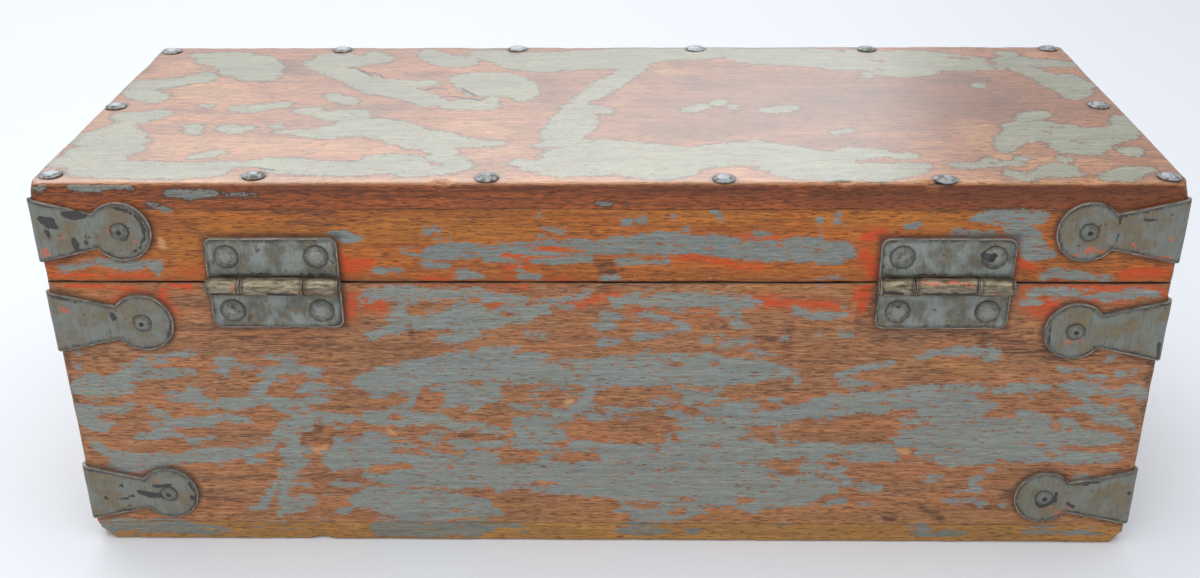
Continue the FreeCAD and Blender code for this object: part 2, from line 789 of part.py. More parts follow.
strap_nails_in_lid = [place for strap in lid_straps for place in strap.nail_places()]
strap_nails_in_case = [place for strap in case_straps for place in strap.nail_places()]
corner_heights = (rim_height - dim.rim_nail_drop,
                  (dim.upper_strap_height * 2 + dim.lower_strap_height) / 3,
                  (dim.upper_strap_height + dim.lower_strap_height * 2) / 3)

lid_holes = [
    nailing("lid_top_nails", stud_nail, top_nail_places()),
    nailing("lid_strap_nails", disc_nail, strap_nails_in_lid),
    nailing("lid_hinge_nails", leaf_nail, hinge_nail_places(up=1)),
    nailing("lid_corner_nails", corner_brad,
            corner_nail_places([lid_foot + dim.lid_corner_nail])),
    staple_holes(),
]
case_holes = [
    nailing("case_strap_nails", disc_nail, strap_nails_in_case),
    nailing("case_hinge_nails", leaf_nail, hinge_nail_places(up=-1)),
    nailing("case_corner_nails", corner_brad, corner_nail_places(corner_heights)),
    nailing("base_nails", base_brad, base_nail_places()),
    nailing("hasp_plate_nails", disc_nail, hasp_nail_places),
]


def all_holes(name, groups):
    tool = doc.addObject("Part::Compound", name)
    tool.Links = groups
    return tool


lid_tool = all_holes("lid_holes", lid_holes)
case_tool = all_holes("case_holes", case_holes)


def board(label, tool, size, corner, rounded=()):
    """A plank: a box whose arrises are rounded, with the nail holes cut out of it.

    size and corner are its three lengths and its lowest corner. rounded lists, for each rounding,
    its radius and a test of an edge's middle and direction.
    """
    plank = doc.addObject("Part::Box", f"{label}_plank")
    bind(plank, Length=size[0], Width=size[1], Height=size[2])
    put(plank, *corner)
    if rounded:
        doc.recompute()
        eased = doc.addObject("Part::Fillet", f"{label}_eased")
        eased.Base = plank
        edges = []
        for number, edge in enumerate(plank.Shape.Edges, start=1):
            middle = edge.CenterOfMass
            along = edge.tangentAt(edge.FirstParameter)
            for radius, wanted in rounded:
                if wanted(middle, along):
                    edges.append((number, radius.value, radius.value))
        eased.Edges = edges
        plank = eased
    drilled = doc.addObject("Part::Cut", label)
    drilled.Base = plank
    drilled.Tool = tool
    return node(drilled, label)


def upright_at(side, end=None):
    """Picks the upright arrises on the outer face of one side, or of one end of it."""
    def wanted(middle, along):
        outer = middle.y * side > half_depth.value - EDGE_MATCH
        chosen = end is None or middle.x * end > 0
        return abs(along.z) > 1 - EDGE_MATCH and outer and chosen
    return wanted


def any_upright(middle, along):
    return abs(along.z) > 1 - EDGE_MATCH


def level_at(height):
    """Picks the horizontal arrises at one height."""
    def wanted(middle, along):
        return abs(along.z) < EDGE_MATCH and abs(middle.z - height.value) < EDGE_MATCH
    return wanted


def frame_of_boards(names, tool, low, height):
    """Front and back boards the full length, with the end boards nailed between them."""
    wall = dim.wall_thickness
    for side in (BACK, FRONT):
        near = half_depth - wall if side == BACK else -half_depth
        board(names[SIDES[side]], tool, (dim.box_length, wall, height), (-half_length, near, low),
              [(dim.corner_round, upright_at(side))])
    inside = dim.box_depth - 2 * wall - 2 * dim.joint_gap
    for end in (RIGHT, LEFT):
        near = half_length - wall if end == RIGHT else -half_length
        board(names[ENDS[end]], tool, (wall, inside, height), (near, -inside / 2, low))


board("base_board", case_tool, (dim.box_length, dim.box_depth, dim.base_thickness),
      (-half_length, -half_depth, ZERO),
      [(dim.corner_round, any_upright), (dim.foot_round, level_at(ZERO))])
frame_of_boards({"back": "back_board", "front": "front_board", "right": "right_end_board",
                 "left": "left_end_board"},
                case_tool, dim.base_thickness, dim.wall_height)
frame_of_boards({"back": "lid_back_rail", "front": "lid_front_rail", "right": "lid_right_rail",
                 "left": "lid_left_rail"},
                lid_tool, lid_foot, dim.rail_height)
board("lid_top_board", lid_tool, (dim.box_length, dim.box_depth, dim.top_thickness),
      (-half_length, -half_depth, rail_top),
      [(dim.corner_round, any_upright), (dim.top_round, level_at(rail_top + dim.top_thickness))])

# ---------------------------------------------------------------- check and write

doc.recompute()

for item in doc.Objects:
    if {"Invalid", "Error"} & set(item.State):
        raise RuntimeError(f"{item.Label} did not compute: {item.State}")
for part in nodes:
    if part.Shape.isNull() or not part.Shape.isValid() or not part.Shape.Solids:
        raise RuntimeError(f"{part.Label} has no valid solid")
    if not re.fullmatch(r"[a-z_]{1,59}", part.Label):
        raise RuntimeError(f"{part.Label} is not a plain node name")

os.makedirs("parts", exist_ok=True)
for part in nodes:
    part.Shape.exportStep(f"parts/{part.Label}.step")
    box = part.Shape.BoundBox
    print(f"{part.Label:26s} {len(part.Shape.Solids):3d} solids  {part.Shape.Volume:12.1f} mm3  "
          f"x {box.XMin:8.2f} {box.XMax:8.2f}  y {box.YMin:8.2f} {box.YMax:8.2f}  "
          f"z {box.ZMin:8.2f} {box.ZMax:8.2f}")
print(f"{len(nodes)} nodes")
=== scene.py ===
# %% [markdown]
# # A strapped storage box
# A small hardwood box with a hinged lid: boards nailed together, keyhole-shaped iron straps round the
# corners, two rolled butt hinges behind and a hasp in front. The wood was primed orange-red and painted
# blue-grey, and most of that paint has flaked off along the grain. The CAD frame holds the sizes and the
# joints. This lesson dresses it: it remakes the boards and the ironwork with worn edges and gives every
# surface its finish. Lengths in lists are millimetres, and the scene itself is in metres.

# %% Load the fixed frame
import math
import random

import bmesh
import bpy
import numpy as np
from mathutils import Matrix, Vector, noise


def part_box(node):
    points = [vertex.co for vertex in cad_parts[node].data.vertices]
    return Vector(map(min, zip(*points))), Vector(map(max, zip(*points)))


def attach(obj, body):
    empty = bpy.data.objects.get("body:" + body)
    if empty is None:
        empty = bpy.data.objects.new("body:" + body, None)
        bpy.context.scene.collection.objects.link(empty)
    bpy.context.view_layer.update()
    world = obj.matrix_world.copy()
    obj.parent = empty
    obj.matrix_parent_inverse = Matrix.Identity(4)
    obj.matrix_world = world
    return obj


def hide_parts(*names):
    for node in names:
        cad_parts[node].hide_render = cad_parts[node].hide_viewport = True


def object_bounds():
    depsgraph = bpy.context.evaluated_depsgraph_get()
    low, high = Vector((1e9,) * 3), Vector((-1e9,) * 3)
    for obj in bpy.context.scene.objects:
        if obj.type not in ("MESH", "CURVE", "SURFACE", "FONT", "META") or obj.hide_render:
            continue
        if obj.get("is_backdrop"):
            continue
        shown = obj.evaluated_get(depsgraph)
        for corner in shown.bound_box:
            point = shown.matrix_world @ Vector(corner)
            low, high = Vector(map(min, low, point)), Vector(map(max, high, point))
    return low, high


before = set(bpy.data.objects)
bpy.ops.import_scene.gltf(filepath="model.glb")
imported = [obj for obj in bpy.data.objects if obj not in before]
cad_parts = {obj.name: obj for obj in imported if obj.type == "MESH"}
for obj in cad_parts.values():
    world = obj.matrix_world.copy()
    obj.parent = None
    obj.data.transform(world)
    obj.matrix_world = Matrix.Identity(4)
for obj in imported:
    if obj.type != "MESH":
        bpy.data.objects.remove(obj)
cad_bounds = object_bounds()
MM = 0.001

# %% [markdown]
# ## Floor, camera and light
# The box stands on a pale table in a white tent, so light comes softly from everywhere and mostly from
# above. A wide lamp overhead, a weaker one behind the camera and a low wide one on the far side do this:
# the far one is what the lid's polished top mirrors towards the camera.


# %% Helpers for lengths, colours and objects
def linear(code):
    """A colour written as #RRGGBB, as the linear values that shaders use."""
    parts = [int(code[i:i + 2], 16) / 255 for i in (1, 3, 5)]
    return tuple(p / 12.92 if p <= 0.04045 else ((p + 0.055) / 1.055) ** 2.4 for p in parts) + (1.0,)


def deselect():
    """Leaves nothing selected, so that the next operator acts only on what it is given."""
    if bpy.context.object and bpy.context.object.mode != "OBJECT":
        bpy.ops.object.mode_set(mode="OBJECT")
    bpy.ops.object.select_all(action="DESELECT")


def active():
    return bpy.context.view_layer.objects.active


# %% The table
FLOOR_SIDE = 30.0
deselect()
bpy.ops.mesh.primitive_plane_add(size=FLOOR_SIDE, location=(0, 0, 0))
floor = active()
floor.name = "table_top"
floor_finish = bpy.data.materials.new("white_table")
floor_finish.use_nodes = True
floor_shader = floor_finish.node_tree.nodes["Principled BSDF"]
floor_shader.inputs["Base Color"].default_value = linear("#E9EDF1")
floor_shader.inputs["Roughness"].default_value = 0.55
floor.data.materials.append(floor_finish)
floor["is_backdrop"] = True
print("table", FLOOR_SIDE, "m square")

# %% The camera
CAMERA_PLACE = Vector((-0.0077, 0.5614, 0.3577))
CAMERA_TURN = (math.radians(181.18), math.radians(63.32), math.radians(-0.45))  # heading, tilt, roll
CAMERA_LENS = 41.55

camera = bpy.data.objects.new("camera", bpy.data.cameras.new("camera"))
bpy.context.scene.collection.objects.link(camera)
heading, tilt, roll = CAMERA_TURN
camera.matrix_world = (Matrix.Translation(CAMERA_PLACE) @ Matrix.Rotation(heading, 4, "Z")
                       @ Matrix.Rotation(tilt, 4, "X") @ Matrix.Rotation(roll, 4, "Z"))
camera.data.lens = CAMERA_LENS
camera.data.sensor_width = 36.0
bpy.context.scene.camera = camera
print("camera", [round(v, 4) for v in camera.location])


# %% The lamps
def soft_lamp(name, place, aim, size, power):
    """A rectangular lamp at place that points at aim, size in metres, power in watts."""
    lamp = bpy.data.lights.new(name, "AREA")
    lamp.shape = "RECTANGLE"
    lamp.size, lamp.size_y = size
    lamp.energy = power
    holder = bpy.data.objects.new(name, lamp)
    bpy.context.scene.collection.objects.link(holder)
    holder.location = place
    holder.rotation_euler = (Vector(aim) - Vector(place)).to_track_quat("-Z", "Y").to_euler()
    holder.visible_camera = False


soft_lamp("overhead", (0.0, 0.25, 1.3), (0, 0, 0.1), (1.5, 1.1), 9.0)
soft_lamp("behind_camera", (0.5, 1.5, 0.95), (0, 0, 0.1), (1.2, 0.9), 6.4)
soft_lamp("far_side", (0.55, -1.3, 1.04), (0.05, 0, 0.12), (2.4, 0.7), 12.4)


# %% The world
def background(colour, strength):
    """A plain background of one colour, as the output of its node."""
    node = sky.nodes.new("ShaderNodeBackground")
    node.inputs["Color"].default_value = linear(colour)
    node.inputs["Strength"].default_value = strength
    return node.outputs[0]


world = bpy.data.worlds.new("light_tent")
bpy.context.scene.world = world
world.use_nodes = True
sky = world.node_tree
sky.nodes.clear()
ray = sky.nodes.new("ShaderNodeLightPath")
choice = sky.nodes.new("ShaderNodeMixShader")
sky.links.new(ray.outputs["Is Camera Ray"], choice.inputs["Fac"])
sky.links.new(background("#F6F8FF", 0.55), choice.inputs[1])  # the light on the box
sky.links.new(background("#E0E8F0", 1.0), choice.inputs[2])  # what the camera sees behind the table
output = sky.nodes.new("ShaderNodeOutputWorld")
sky.links.new(choice.outputs[0], output.inputs["Surface"])
bpy.context.scene.view_settings.view_transform = "Standard"
print("three lamps and a pale world")

# %% [markdown]
# ## Wear, written down as strokes
# Paint that flakes off a board leaves long islands that follow the grain. Such an island is a stroke: a few
# points (across, up, half-height), all in millimetres, joined by straight pieces. On the hinge side "across"
# runs from left to right as seen by someone who faces the hinges, and "up" is the height above the table.
# Paint strokes say where paint is left, bare strokes cut holes in it, and primer strokes say where the
# orange-red first coat shows. Each point of a board then holds how deep it lies inside the strokes, and
# the finish roughens that outline along the grain. A stroke is written as one row, point after point.


# %% From rows of numbers to strokes
def in_threes(*rows):
    """Splits each row into points of three numbers: across, up and half-height."""
    return [[row[i:i + 3] for i in range(0, len(row), 3)] for row in rows]


print("a stroke of two points:", in_threes((0, 0, 1, 9, 0, 2)))

# %% Strokes on the hinge side of the case, left part
HINGE_SIDE_PAINT = in_threes(
    (-42,79,1.6, -32,78.6,2.4, -24,79,1.4), (-44,75,1.4, -43,67,1.4), (-118,60,1, -105,58,1.8, -94,58.6,1.8,
    -84,57.6,1.2), (-121,56,1.2, -122,50,1.2, -122.4,43,1), (-66,98,1.4, -57,97.6,2.6, -51,98.4,1.2),
    (-76,75,1.2, -78,68,1.2, -72,64,1), (-18,55,1.8, -20,49,1.2, -20,43,1), (84,54,1, 95,56,1.4), (100,42,1,
    96,37,1.6), (118,60,1.2, 126,59,1.2), (136,76,1, 152,74,1.6), (-210,75,4.6, -203,75,4.6, -197,74.5,3.6,
    -191,74,2.2), (-196,78.5,1.8, -190,81,3.4, -184,83,5.2, -177,82,3.6, -170,82,2, -165,81.5,1),
    (-181,85.5,1.8, -175,88,1.3, -169,90,1.4, -162,91,0.8), (-210,84,1.9), (-209,90,1.2), (-212,64.5,2.6,
    -205,64,2.5, -197,64.5,2.2, -191,66.5,0.8), (-211,58,3.6, -206,56.5,3.4, -202,59,1.4), (-184,63,1.8,
    -180,62.5,2.3, -176,61,1), (-184,58.5,1.1, -176,59,1.3, -169,58,2.2, -160,59.3,2.8, -152,60.5,2,
    -144,59.5,1), (-191,51.5,0.9, -184,52.3,2.2, -179,54.5,2.6, -174,52.5,0.9), (-171,49,0.7, -164,50,0.8,
    -160,51,0.6), (-177,71,0.7, -168,71.3,0.8, -160,72,0.6), (-167,75,0.8, -162,74.5,0.7), (-177,68.3,0.8,
    -168,68.5,1, -161,68.7,1.9, -159,67,1.2), (-211,48.5,0.9, -206,44.8,1.8, -203,42,3, -195,40,4,
    -189,38.5,3.4, -183,39.5,3.4, -176,40,2.8, -168,42,3, -160,42.2,3.8, -154,43.2,2.4, -147,44.3,2.2,
    -140,46.3,2.2, -134,48.5,1.8), (-204,37,2, -194,36.5,2.4, -186,36.5,1.2), (-155,84,1.2, -152,85,3.8,
    -148.5,86,2.4, -145.5,85.5,1.2), (-151.5,80.5,1.2), (-144,84,1, -140.5,84.2,1.2), (-134,89,0.8,
    -129,87.7,1.5, -124,88,0.8), (-137,79.5,1.5, -132,82,2.4, -126,83,2.4, -118,82,2, -114.5,81,1.8),
    (-142,71.8,1, -137,74.5,2.2, -135,78,1.8, -129,78,0.8), (-123,73.5,1, -118,75.3,2.4, -111,74.2,1.6,
    -106,74.5,0.7), (-154,67.5,2, -149,66.5,3, -143,68,1.8, -136,69,1.6, -128,67.5,2, -120,68.5,1.6,
    -113,69.5,0.9), (-131,65,1.4, -126,63,1.2, -121,65.5,1), (-120,60,2.5, -129,57,3.2, -131.5,54,3.4,
    -128.5,50,4, -130,45,4.2, -127.5,40,4.4, -131,34,4, -133,27.5,2.6, -135,22,2.6, -133.5,17,4),
    (-137,14,1.8, -130,18.5,4, -125,20,3.2, -122,20,1.2), (-137,29,1.2, -139.5,24,2, -142.5,20,1.8),
    (-147.5,39.5,1, -141,40,1.4), (-119,61,2.2, -113,61.5,2.6, -104,59.5,3), (-114.5,46,2.8, -112,40,4,
    -110,36,3.2), (-148.5,16,0.9, -143,17,1.2), (-127,27.3,0.9, -124,28.3,1.2), (-112,15,0.9, -108,15.3,1),
    (-117,22.6,0.8, -114,22,0.7), (-114,28,0.7, -108,29,0.7))
HINGE_SIDE_BARE = in_threes(
    (-120.8,49.6,5, -115,49.6,5), (-178.5,84.3,0.8, -171,85.8,0.9, -166,85.3,0.7), (-168,81,0.7),
    (-198,74,0.8), (-132.5,48,0.9, -130.5,50.5,0.8), (-133,41,1.2), (-129,31.5,0.9), (-138,36,1.6))
print("left part:", len(HINGE_SIDE_PAINT), "paint strokes")

# %% Strokes on the hinge side of the case, middle
HINGE_SIDE_PAINT += in_threes(
    (-95,116,1.2, -86,117.5,3, -77,117.3,3.4, -67,116.8,2.4, -57,116.8,2.2, -49,118,1.4), (-81,105,4,
    -77,112,2, -72,106,4.6, -62,106,6, -52,106,6, -46,104.5,4.4, -39,107,3.2, -32,108.6,2.8, -23,110,2),
    (-92.5,98.8,1.5, -87,99,1.6, -83,101.5,2.4), (-47,116,1.2, -38,115.7,1.2, -31,114.5,1), (-27,114,1,
    -20,113.3,1.2, -12,115.6,1.4, -6,117,1), (-20,110.5,0.9, -13,111,0.9), (-40,112,1, -32,112.5,0.9),
    (-30,99.8,1, -25,99,1.2), (-6,103,1, 2,102.5,1.6), (-100,77,1.6, -95,78,3.6, -88,79,5, -80,80,5,
    -73,82,5.5, -65,83,6.5, -58,85,7, -48,86,7, -38,87,6.6, -31,86,6, -22,82,5.6, -12,81,6, 0,81,6),
    (-93,73,2.2, -84,74,2.4), (-59,90,2.6, -63,89.5,1.2), (-62,72,6, -55,70.5,6.4, -49,71,4.4, -45,75,3),
    (-68,73,2.4, -64,67.5,1.8), (-97,62.3,1.6, -91,62.2,3, -84,63,3.2, -77,61.5,2.4, -70,61.5,2.8,
    -63,59.5,1.8), (-78,69.5,1.2, -76.3,66.5,1), (-84,66.5,1, -77,65,1.4), (-38,68.5,1, -34,69.5,1),
    (-40,66.3,1, -32,66,1.8, -24,66.2,1.4), (-36,59.6,2, -28,59.5,3.4, -19,61,2.6, -12,66,5), (-6,62,2.4,
    0,62.5,2.2), (-9,69,3.4, -7,73.5,2), (-29,71,0.9, -27,74.5,1.4, -15,75.5,1), (-108,44,7.6, -100,43.5,8,
    -93,45,8, -86,44.5,6.5, -78,42,5.5, -70,41,3.6, -60,37,4.6), (-93,53,1.6, -97,52,2), (-63,57.6,1.4,
    -55,57.3,1.6, -50,56,1), (-73,51.5,1.8, -68,51.6,2.2), (-61,49,2.4, -53,47.5,1.8, -46,47.7,1.6,
    -42,49,1.8), (-47.5,54.8,1.4, -43.5,55,1), (-37,57,2, -34,50,4.6, -27,53,6, -20,53.5,3.6), (-30,46.5,1.8,
    -24,47.5,1.8), (-17,47,1.2, -8,48.2,1.8, 2,47.2,2.4), (-55,42,2.6, -47,41.5,2.8), (-24,44,1.6,
    -25,39.5,2.6), (-77,46.5,1, -72,46.5,1.4), (-98,31.5,1.8, -91,31.5,3.4, -82,31.5,4.6, -73,32,5.6,
    -63,32,5.6, -52,34,6.4, -42,34,5.4, -32,34.3,4.4, -22,34,5, -12,34,5.8, 0,33,6.6), (-104,20,3.2,
    -97,21,6.4, -88,20,8, -80,18,7.6, -70,18,7.4, -60,17,6.6, -52,16,5, -47,14.5,2.6), (-107,28.5,1.2,
    -103.5,28.3,1.2), (-45,27,2.2, -34,30,2.4, -22,26,2, -10,26,2.2, 0,25.8,2.2))
HINGE_SIDE_BARE += in_threes(
    (-75.5,110,2, -69,110.6,2.6, -61,112,1.8, -56,112.3,1.4), (-54,104.5,1), (-90,119,0.6, -86,119.5,0.7),
    (-71,119.3,0.8, -64,119,0.7), (-52,116.8,0.9), (-59,92.6,1.4, -53,95,1.8, -46,96.3,2.2, -40,98.5,2.4),
    (-41,109.5,2, -37,107.4,0.8), (-53,91.5,1, -50,92.3,0.8), (-35,91.5,1.2, -31,92.6,1.4), (-24,86,1,
    -15,87,1.2), (-20,91,1.8, -12,91.5,2.6, -7,90.5,1.2), (-16,84.5,0.8, -6,85.5,1), (-11,80.5,0.9,
    -7,81,0.8), (-78.5,73.8,0.8, -75,74.3,0.7), (-86.5,61,1.2, -84,62,0.9), (-49,73.5,0.8, -47,74.2,0.6),
    (-75,66,2.6, -71,68,4.4, -67.5,70,3), (-62,65.8,0.7, -56,65.4,0.9), (-73,64.3,1.2, -66,63.3,1.3,
    -58,61.5,2, -50,61.5,2.8, -45,63.5,3.4, -42,67.5,2.8, -37,71,2.2, -31,71.3,2.2, -27.5,69.5,1.4),
    (-49,58.5,2, -45,60,2), (-42,62.3,0.9, -36,62.3,1.1), (-33,62,0.8, -26,61.8,1.2, -23.5,62.5,0.8),
    (-27,72.7,0.8, -20,73,1, -13,73.4,0.8), (-22.5,68,0.9, -17,66.8,2.4, -13.5,69,2.6, -10,71,1),
    (-20.5,57.2,0.9, -16.5,56.8,1.5, -14,54.6,0.9), (-13,62,0.9, -9,62.6,1), (-5,65,1.2, -2,64.4,0.8),
    (-4,70.5,1.6, 2,71.5,2), (-13,51.5,1.4, -7,53.5,3, 2,55.5,4.2), (-22,47.8,0.8, -17,49.3,1, -12,51,1.6),
    (-109,57,1.4, -104,53,1.2), (-104,56,1.2, -99,57.5,2.6, -95,55.2,1.4), (-92,54.3,1, -87,54.5,2.8,
    -84.5,52,1.6), (-106,49.6,1.3, -103,50.4,0.9), (-90,50.3,0.8, -83,49.8,1.6, -76,50.3,1.8, -72,48.5,1),
    (-81,53.7,1.2, -74,55,1.8, -67,55,1.7, -62,54,0.8), (-87,45.2,1, -84,46,1.4), (-80.5,45.5,0.8,
    -76,44.3,1.6, -73,43,0.9), (-70,45.3,1, -62,46,1.1), (-71,47.8,0.8, -66.5,49.8,1.1, -63.5,51,0.8),
    (-64,41,0.8, -60,43,1.9, -58,44.5,1.2), (-57,44.4,0.8, -50,45,1, -45.5,44.5,0.7), (-61,52.5,0.8,
    -53,51.3,2.4, -45,52,2.6, -38.5,53.3,2), (-44.5,45,1.6, -39,42.5,3.2, -33,42,2.8, -28,44,1.6),
    (-23,41.3,1.4, -17,43,2, -10,43.6,2.4, -4,43,1.4), (-14,39.2,0.8), (-40,28.4,0.7, -32,28.4,1,
    -25,28,1.2), (-56,16.6,1.2, -53.5,15,1.2), (-65.5,15.3,0.7, -61,15.8,0.8), (-97,34.5,1.2, -92,35.5,1.5,
    -85,37.3,1.7, -79,36.4,0.9), (-76,36.4,0.6, -69,37,0.8, -63,36.6,0.8), (-113,32.5,2.4, -106,32.6,2.2,
    -99,33.3,1.4), (-113,21,4, -109,18,2), (-90.5,17,0.7), (-108,12,1.6, -98,12.3,1.4), (-57.5,11,0.7,
    -53,10.6,0.8), (-4,49.5,0.9, 2,49,1.2))
print("hinge side so far:", len(HINGE_SIDE_PAINT), "paint and", len(HINGE_SIDE_BARE), "bare strokes")

# %% Strokes on the hinge side of the case, right part
HINGE_SIDE_PAINT += in_threes(
    (4,113,2.2, 14,114,3, 25,113.6,3.6, 36,113.8,3.6, 46,113.2,2.8, 54,113.8,1.4, 59,113.2,0.9), (17,117.3,1,
    25,117,1.2), (-1,107.3,1.2, 7,107.2,1), (12,107.8,1.2, 20,107.6,1.4), (19,104.3,0.9, 23,106,1),
    (28,104.2,0.9, 31.5,102,1.5, 26,100.4,0.9, 18,99.3,1.4, 13,98.4,1.6), (46,108.6,1.4, 51,108.6,1.3),
    (50,103.3,1.1, 56,103,0.7), (38,97.2,0.9, 41,97.2,0.7), (45,98.6,1.1), (45.5,93.7,0.8, 51,95.4,1.7,
    57,96.3,0.9), (-2,96,1.6, 4,96,1.6), (73,110.2,0.9, 76,108.5,1.2, 84,107.9,1.1, 90,108,1.2,
    91.5,109,1.2), (90.5,101.3,0.8, 92,99.6,0.9, 95,99,0.8), (82.5,98.6,0.7), (70,97.3,1.1), (71,94.3,0.8),
    (57,91.8,0.7, 62,91,0.9, 66,91.3,0.7), (14,90.5,1, 18,90.3,0.9), (0,82.5,6.8, 10,82.3,7, 20,82.6,6.6,
    30,83.5,6.6, 40,83.5,6.4, 50,82.5,6, 60,82.8,4.8, 67,82.6,3.2, 74,81.3,1.5, 76,79,1, 74,76,1.1),
    (60,88,1.8, 65,85.5,2), (27,72.5,2.2, 35,72.6,2.6, 42,71,3, 46,73.5,1.6), (20,69,0.8, 27,69.3,1.2,
    33,68,1), (0,64.2,0.9, 10,64.5,1, 18,65.3,1), (4,62.2,0.7, 14,62.3,0.8), (26,63,1.2, 33,61,2.2, 38,61,3),
    (38,64,2.4, 46,64.8,4.6, 52,63.5,4.6, 58,62,4.4, 64,61,3.2, 72,62,3, 80,64,3.4, 88,65.4,3.8, 96,67,4.2,
    104,68.3,4.6, 112,67.6,4.2), (55,67,2, 60,68.5,1), (64,70.6,0.7, 69.5,69,0.8), (84,69,1, 92,71,1.2),
    (91,81.5,0.8, 98,83.2,0.9, 105,85,0.9, 112,86.4,0.9), (94,77,1.2, 100,76.8,1.2, 107,76.6,0.7),
    (86,79,0.8), (84,54,1, 91,55,1.5, 97.5,56.7,1.2), (105,59.6,1), (69.5,54,1.3, 70.5,50,2), (0,40,7,
    10,40,8, 20,40,9, 30,40,11.4, 39,42,17.5, 48,40,18, 56,36,13, 66,33,10), (10,52,1.7, 14.5,52,1),
    (60,44.5,4.6, 70,45,4.2, 80,45,4.4, 90,45,4.2, 100,45,4, 110,44.3,3.4), (0,30,7, 12,29,9, 25,28,8.6,
    38,26,9, 50,27,9, 62,26,8.6, 72,26,8, 82,26.5,7.2, 90,28,5), (84,37,4, 92,34,4, 99,30.5,3, 104,33,1.6,
    106,30,3.6, 112,27.4,1.4), (60,17,2, 62,14,1), (36,17,2, 40,16,1), (92,20.4,1.2, 97.5,21,1.2), (3,15,0.9,
    8,17,1, 14,14.7,0.9), (12,12,1, 21,12,1.5, 30,12.6,1.1, 36,14.6,1.2), (17,16,0.9, 28,15.5,1),
    (104,18,0.9, 109,20.5,0.8), (160,112.5,0.9, 165.5,113.5,1), (163,118,1, 172,118,1.5, 181,117.4,1.6,
    190,116.4,1.3, 198,117,1.6, 206,117.6,1.7, 210,116.4,1), (122,89,1.3, 130,91,1.1, 137,92.4,1.5,
    145,92,1.9, 151,91,2.4, 153,88.5,1), (112,73.2,1, 122,75.2,1, 130,76.2,0.8), (110,68,3.6, 120,67.6,4.4,
    128,68.6,5.8, 136,66,8, 144,64,9, 150,58,9, 157,56.5,6.6, 166,57,8.4, 174,55,7.6, 183,55.5,7,
    191,52.5,3.6, 200,51.5,2.2, 207,50.8,1.4), (119,51,3, 125,50.5,7, 133,49.5,8.6, 141,48.5,10.6,
    150,48.5,9, 160,48,6.4, 172,46.5,6.6, 184,44,3.6, 192,42.5,3, 200,43,2.6, 208,42.7,1.8), (110,45,3,
    117,44,4, 123,42.6,2.6), (152,73.3,1.4, 160,75,2, 168,76,2.8, 174,75.8,1.8), (168,72.6,1.6,
    165,71.3,0.9), (180,76,1.6, 186,76,2.8, 192,75,3.3, 197,72.5,3, 191,69.6,2), (149,66,1.2, 156,67.3,1.3),
    (190,81.6,0.8, 196,79.6,1.1), (202,82,0.9, 209,82.6,1), (197,88.4,0.9), (180,83.5,0.6, 187,84,0.6),
    (202,72.5,1.8, 207,74.4,2.4, 212,75,1.8, 213,71,1.6), (185,66.3,1.6, 193,66,1.8, 203,65,1.6),
    (197,61,1.6, 205,60.5,3, 210,57.5,1.4), (133,31.6,1.6, 136.5,32,1.1), (193,32.6,1.1, 196,33,1.1),
    (157,35.6,0.9, 153.5,33.6,1.2, 151,30,2.4, 150,27.4,1.9, 153,27,1), (144.5,25.6,0.7), (139.5,22,0.7,
    146,20.8,1.1, 153,23,0.7), (155,20,0.8), (164,19.2,0.9), (-211,6,3, -198,6.6,3.2, -183,6,3.4,
    -168,5.2,2.6, -161,4.4,1.2), (-149,7,1, -138,7,1.5, -128,7.4,0.9, -117,7,0.9), (-96,6,3.6, -85,6,3.8,
    -70,6,3.8, -57,5.6,3.2, -47,7,1.6), (-43,8,0.9, -36,6.4,1.4, -33,5,0.8), (5,6.5,1.8, 12,6.5,2.8,
    20,6,2.8, 27,7,1.6, 33,8,0.9), (34,4,0.9, 40,6,0.8), (67,8.1,0.5, 77,8.4,0.5), (127,6,1.8, 132,6.2,2.6,
    136,4.6,1.1), (140,5,0.9, 150,4.6,0.9), (174,6,1.3, 182,7,2.2, 188,7,1.7), (190,6,0.9, 199,5.6,1.2,
    206,6,0.8))
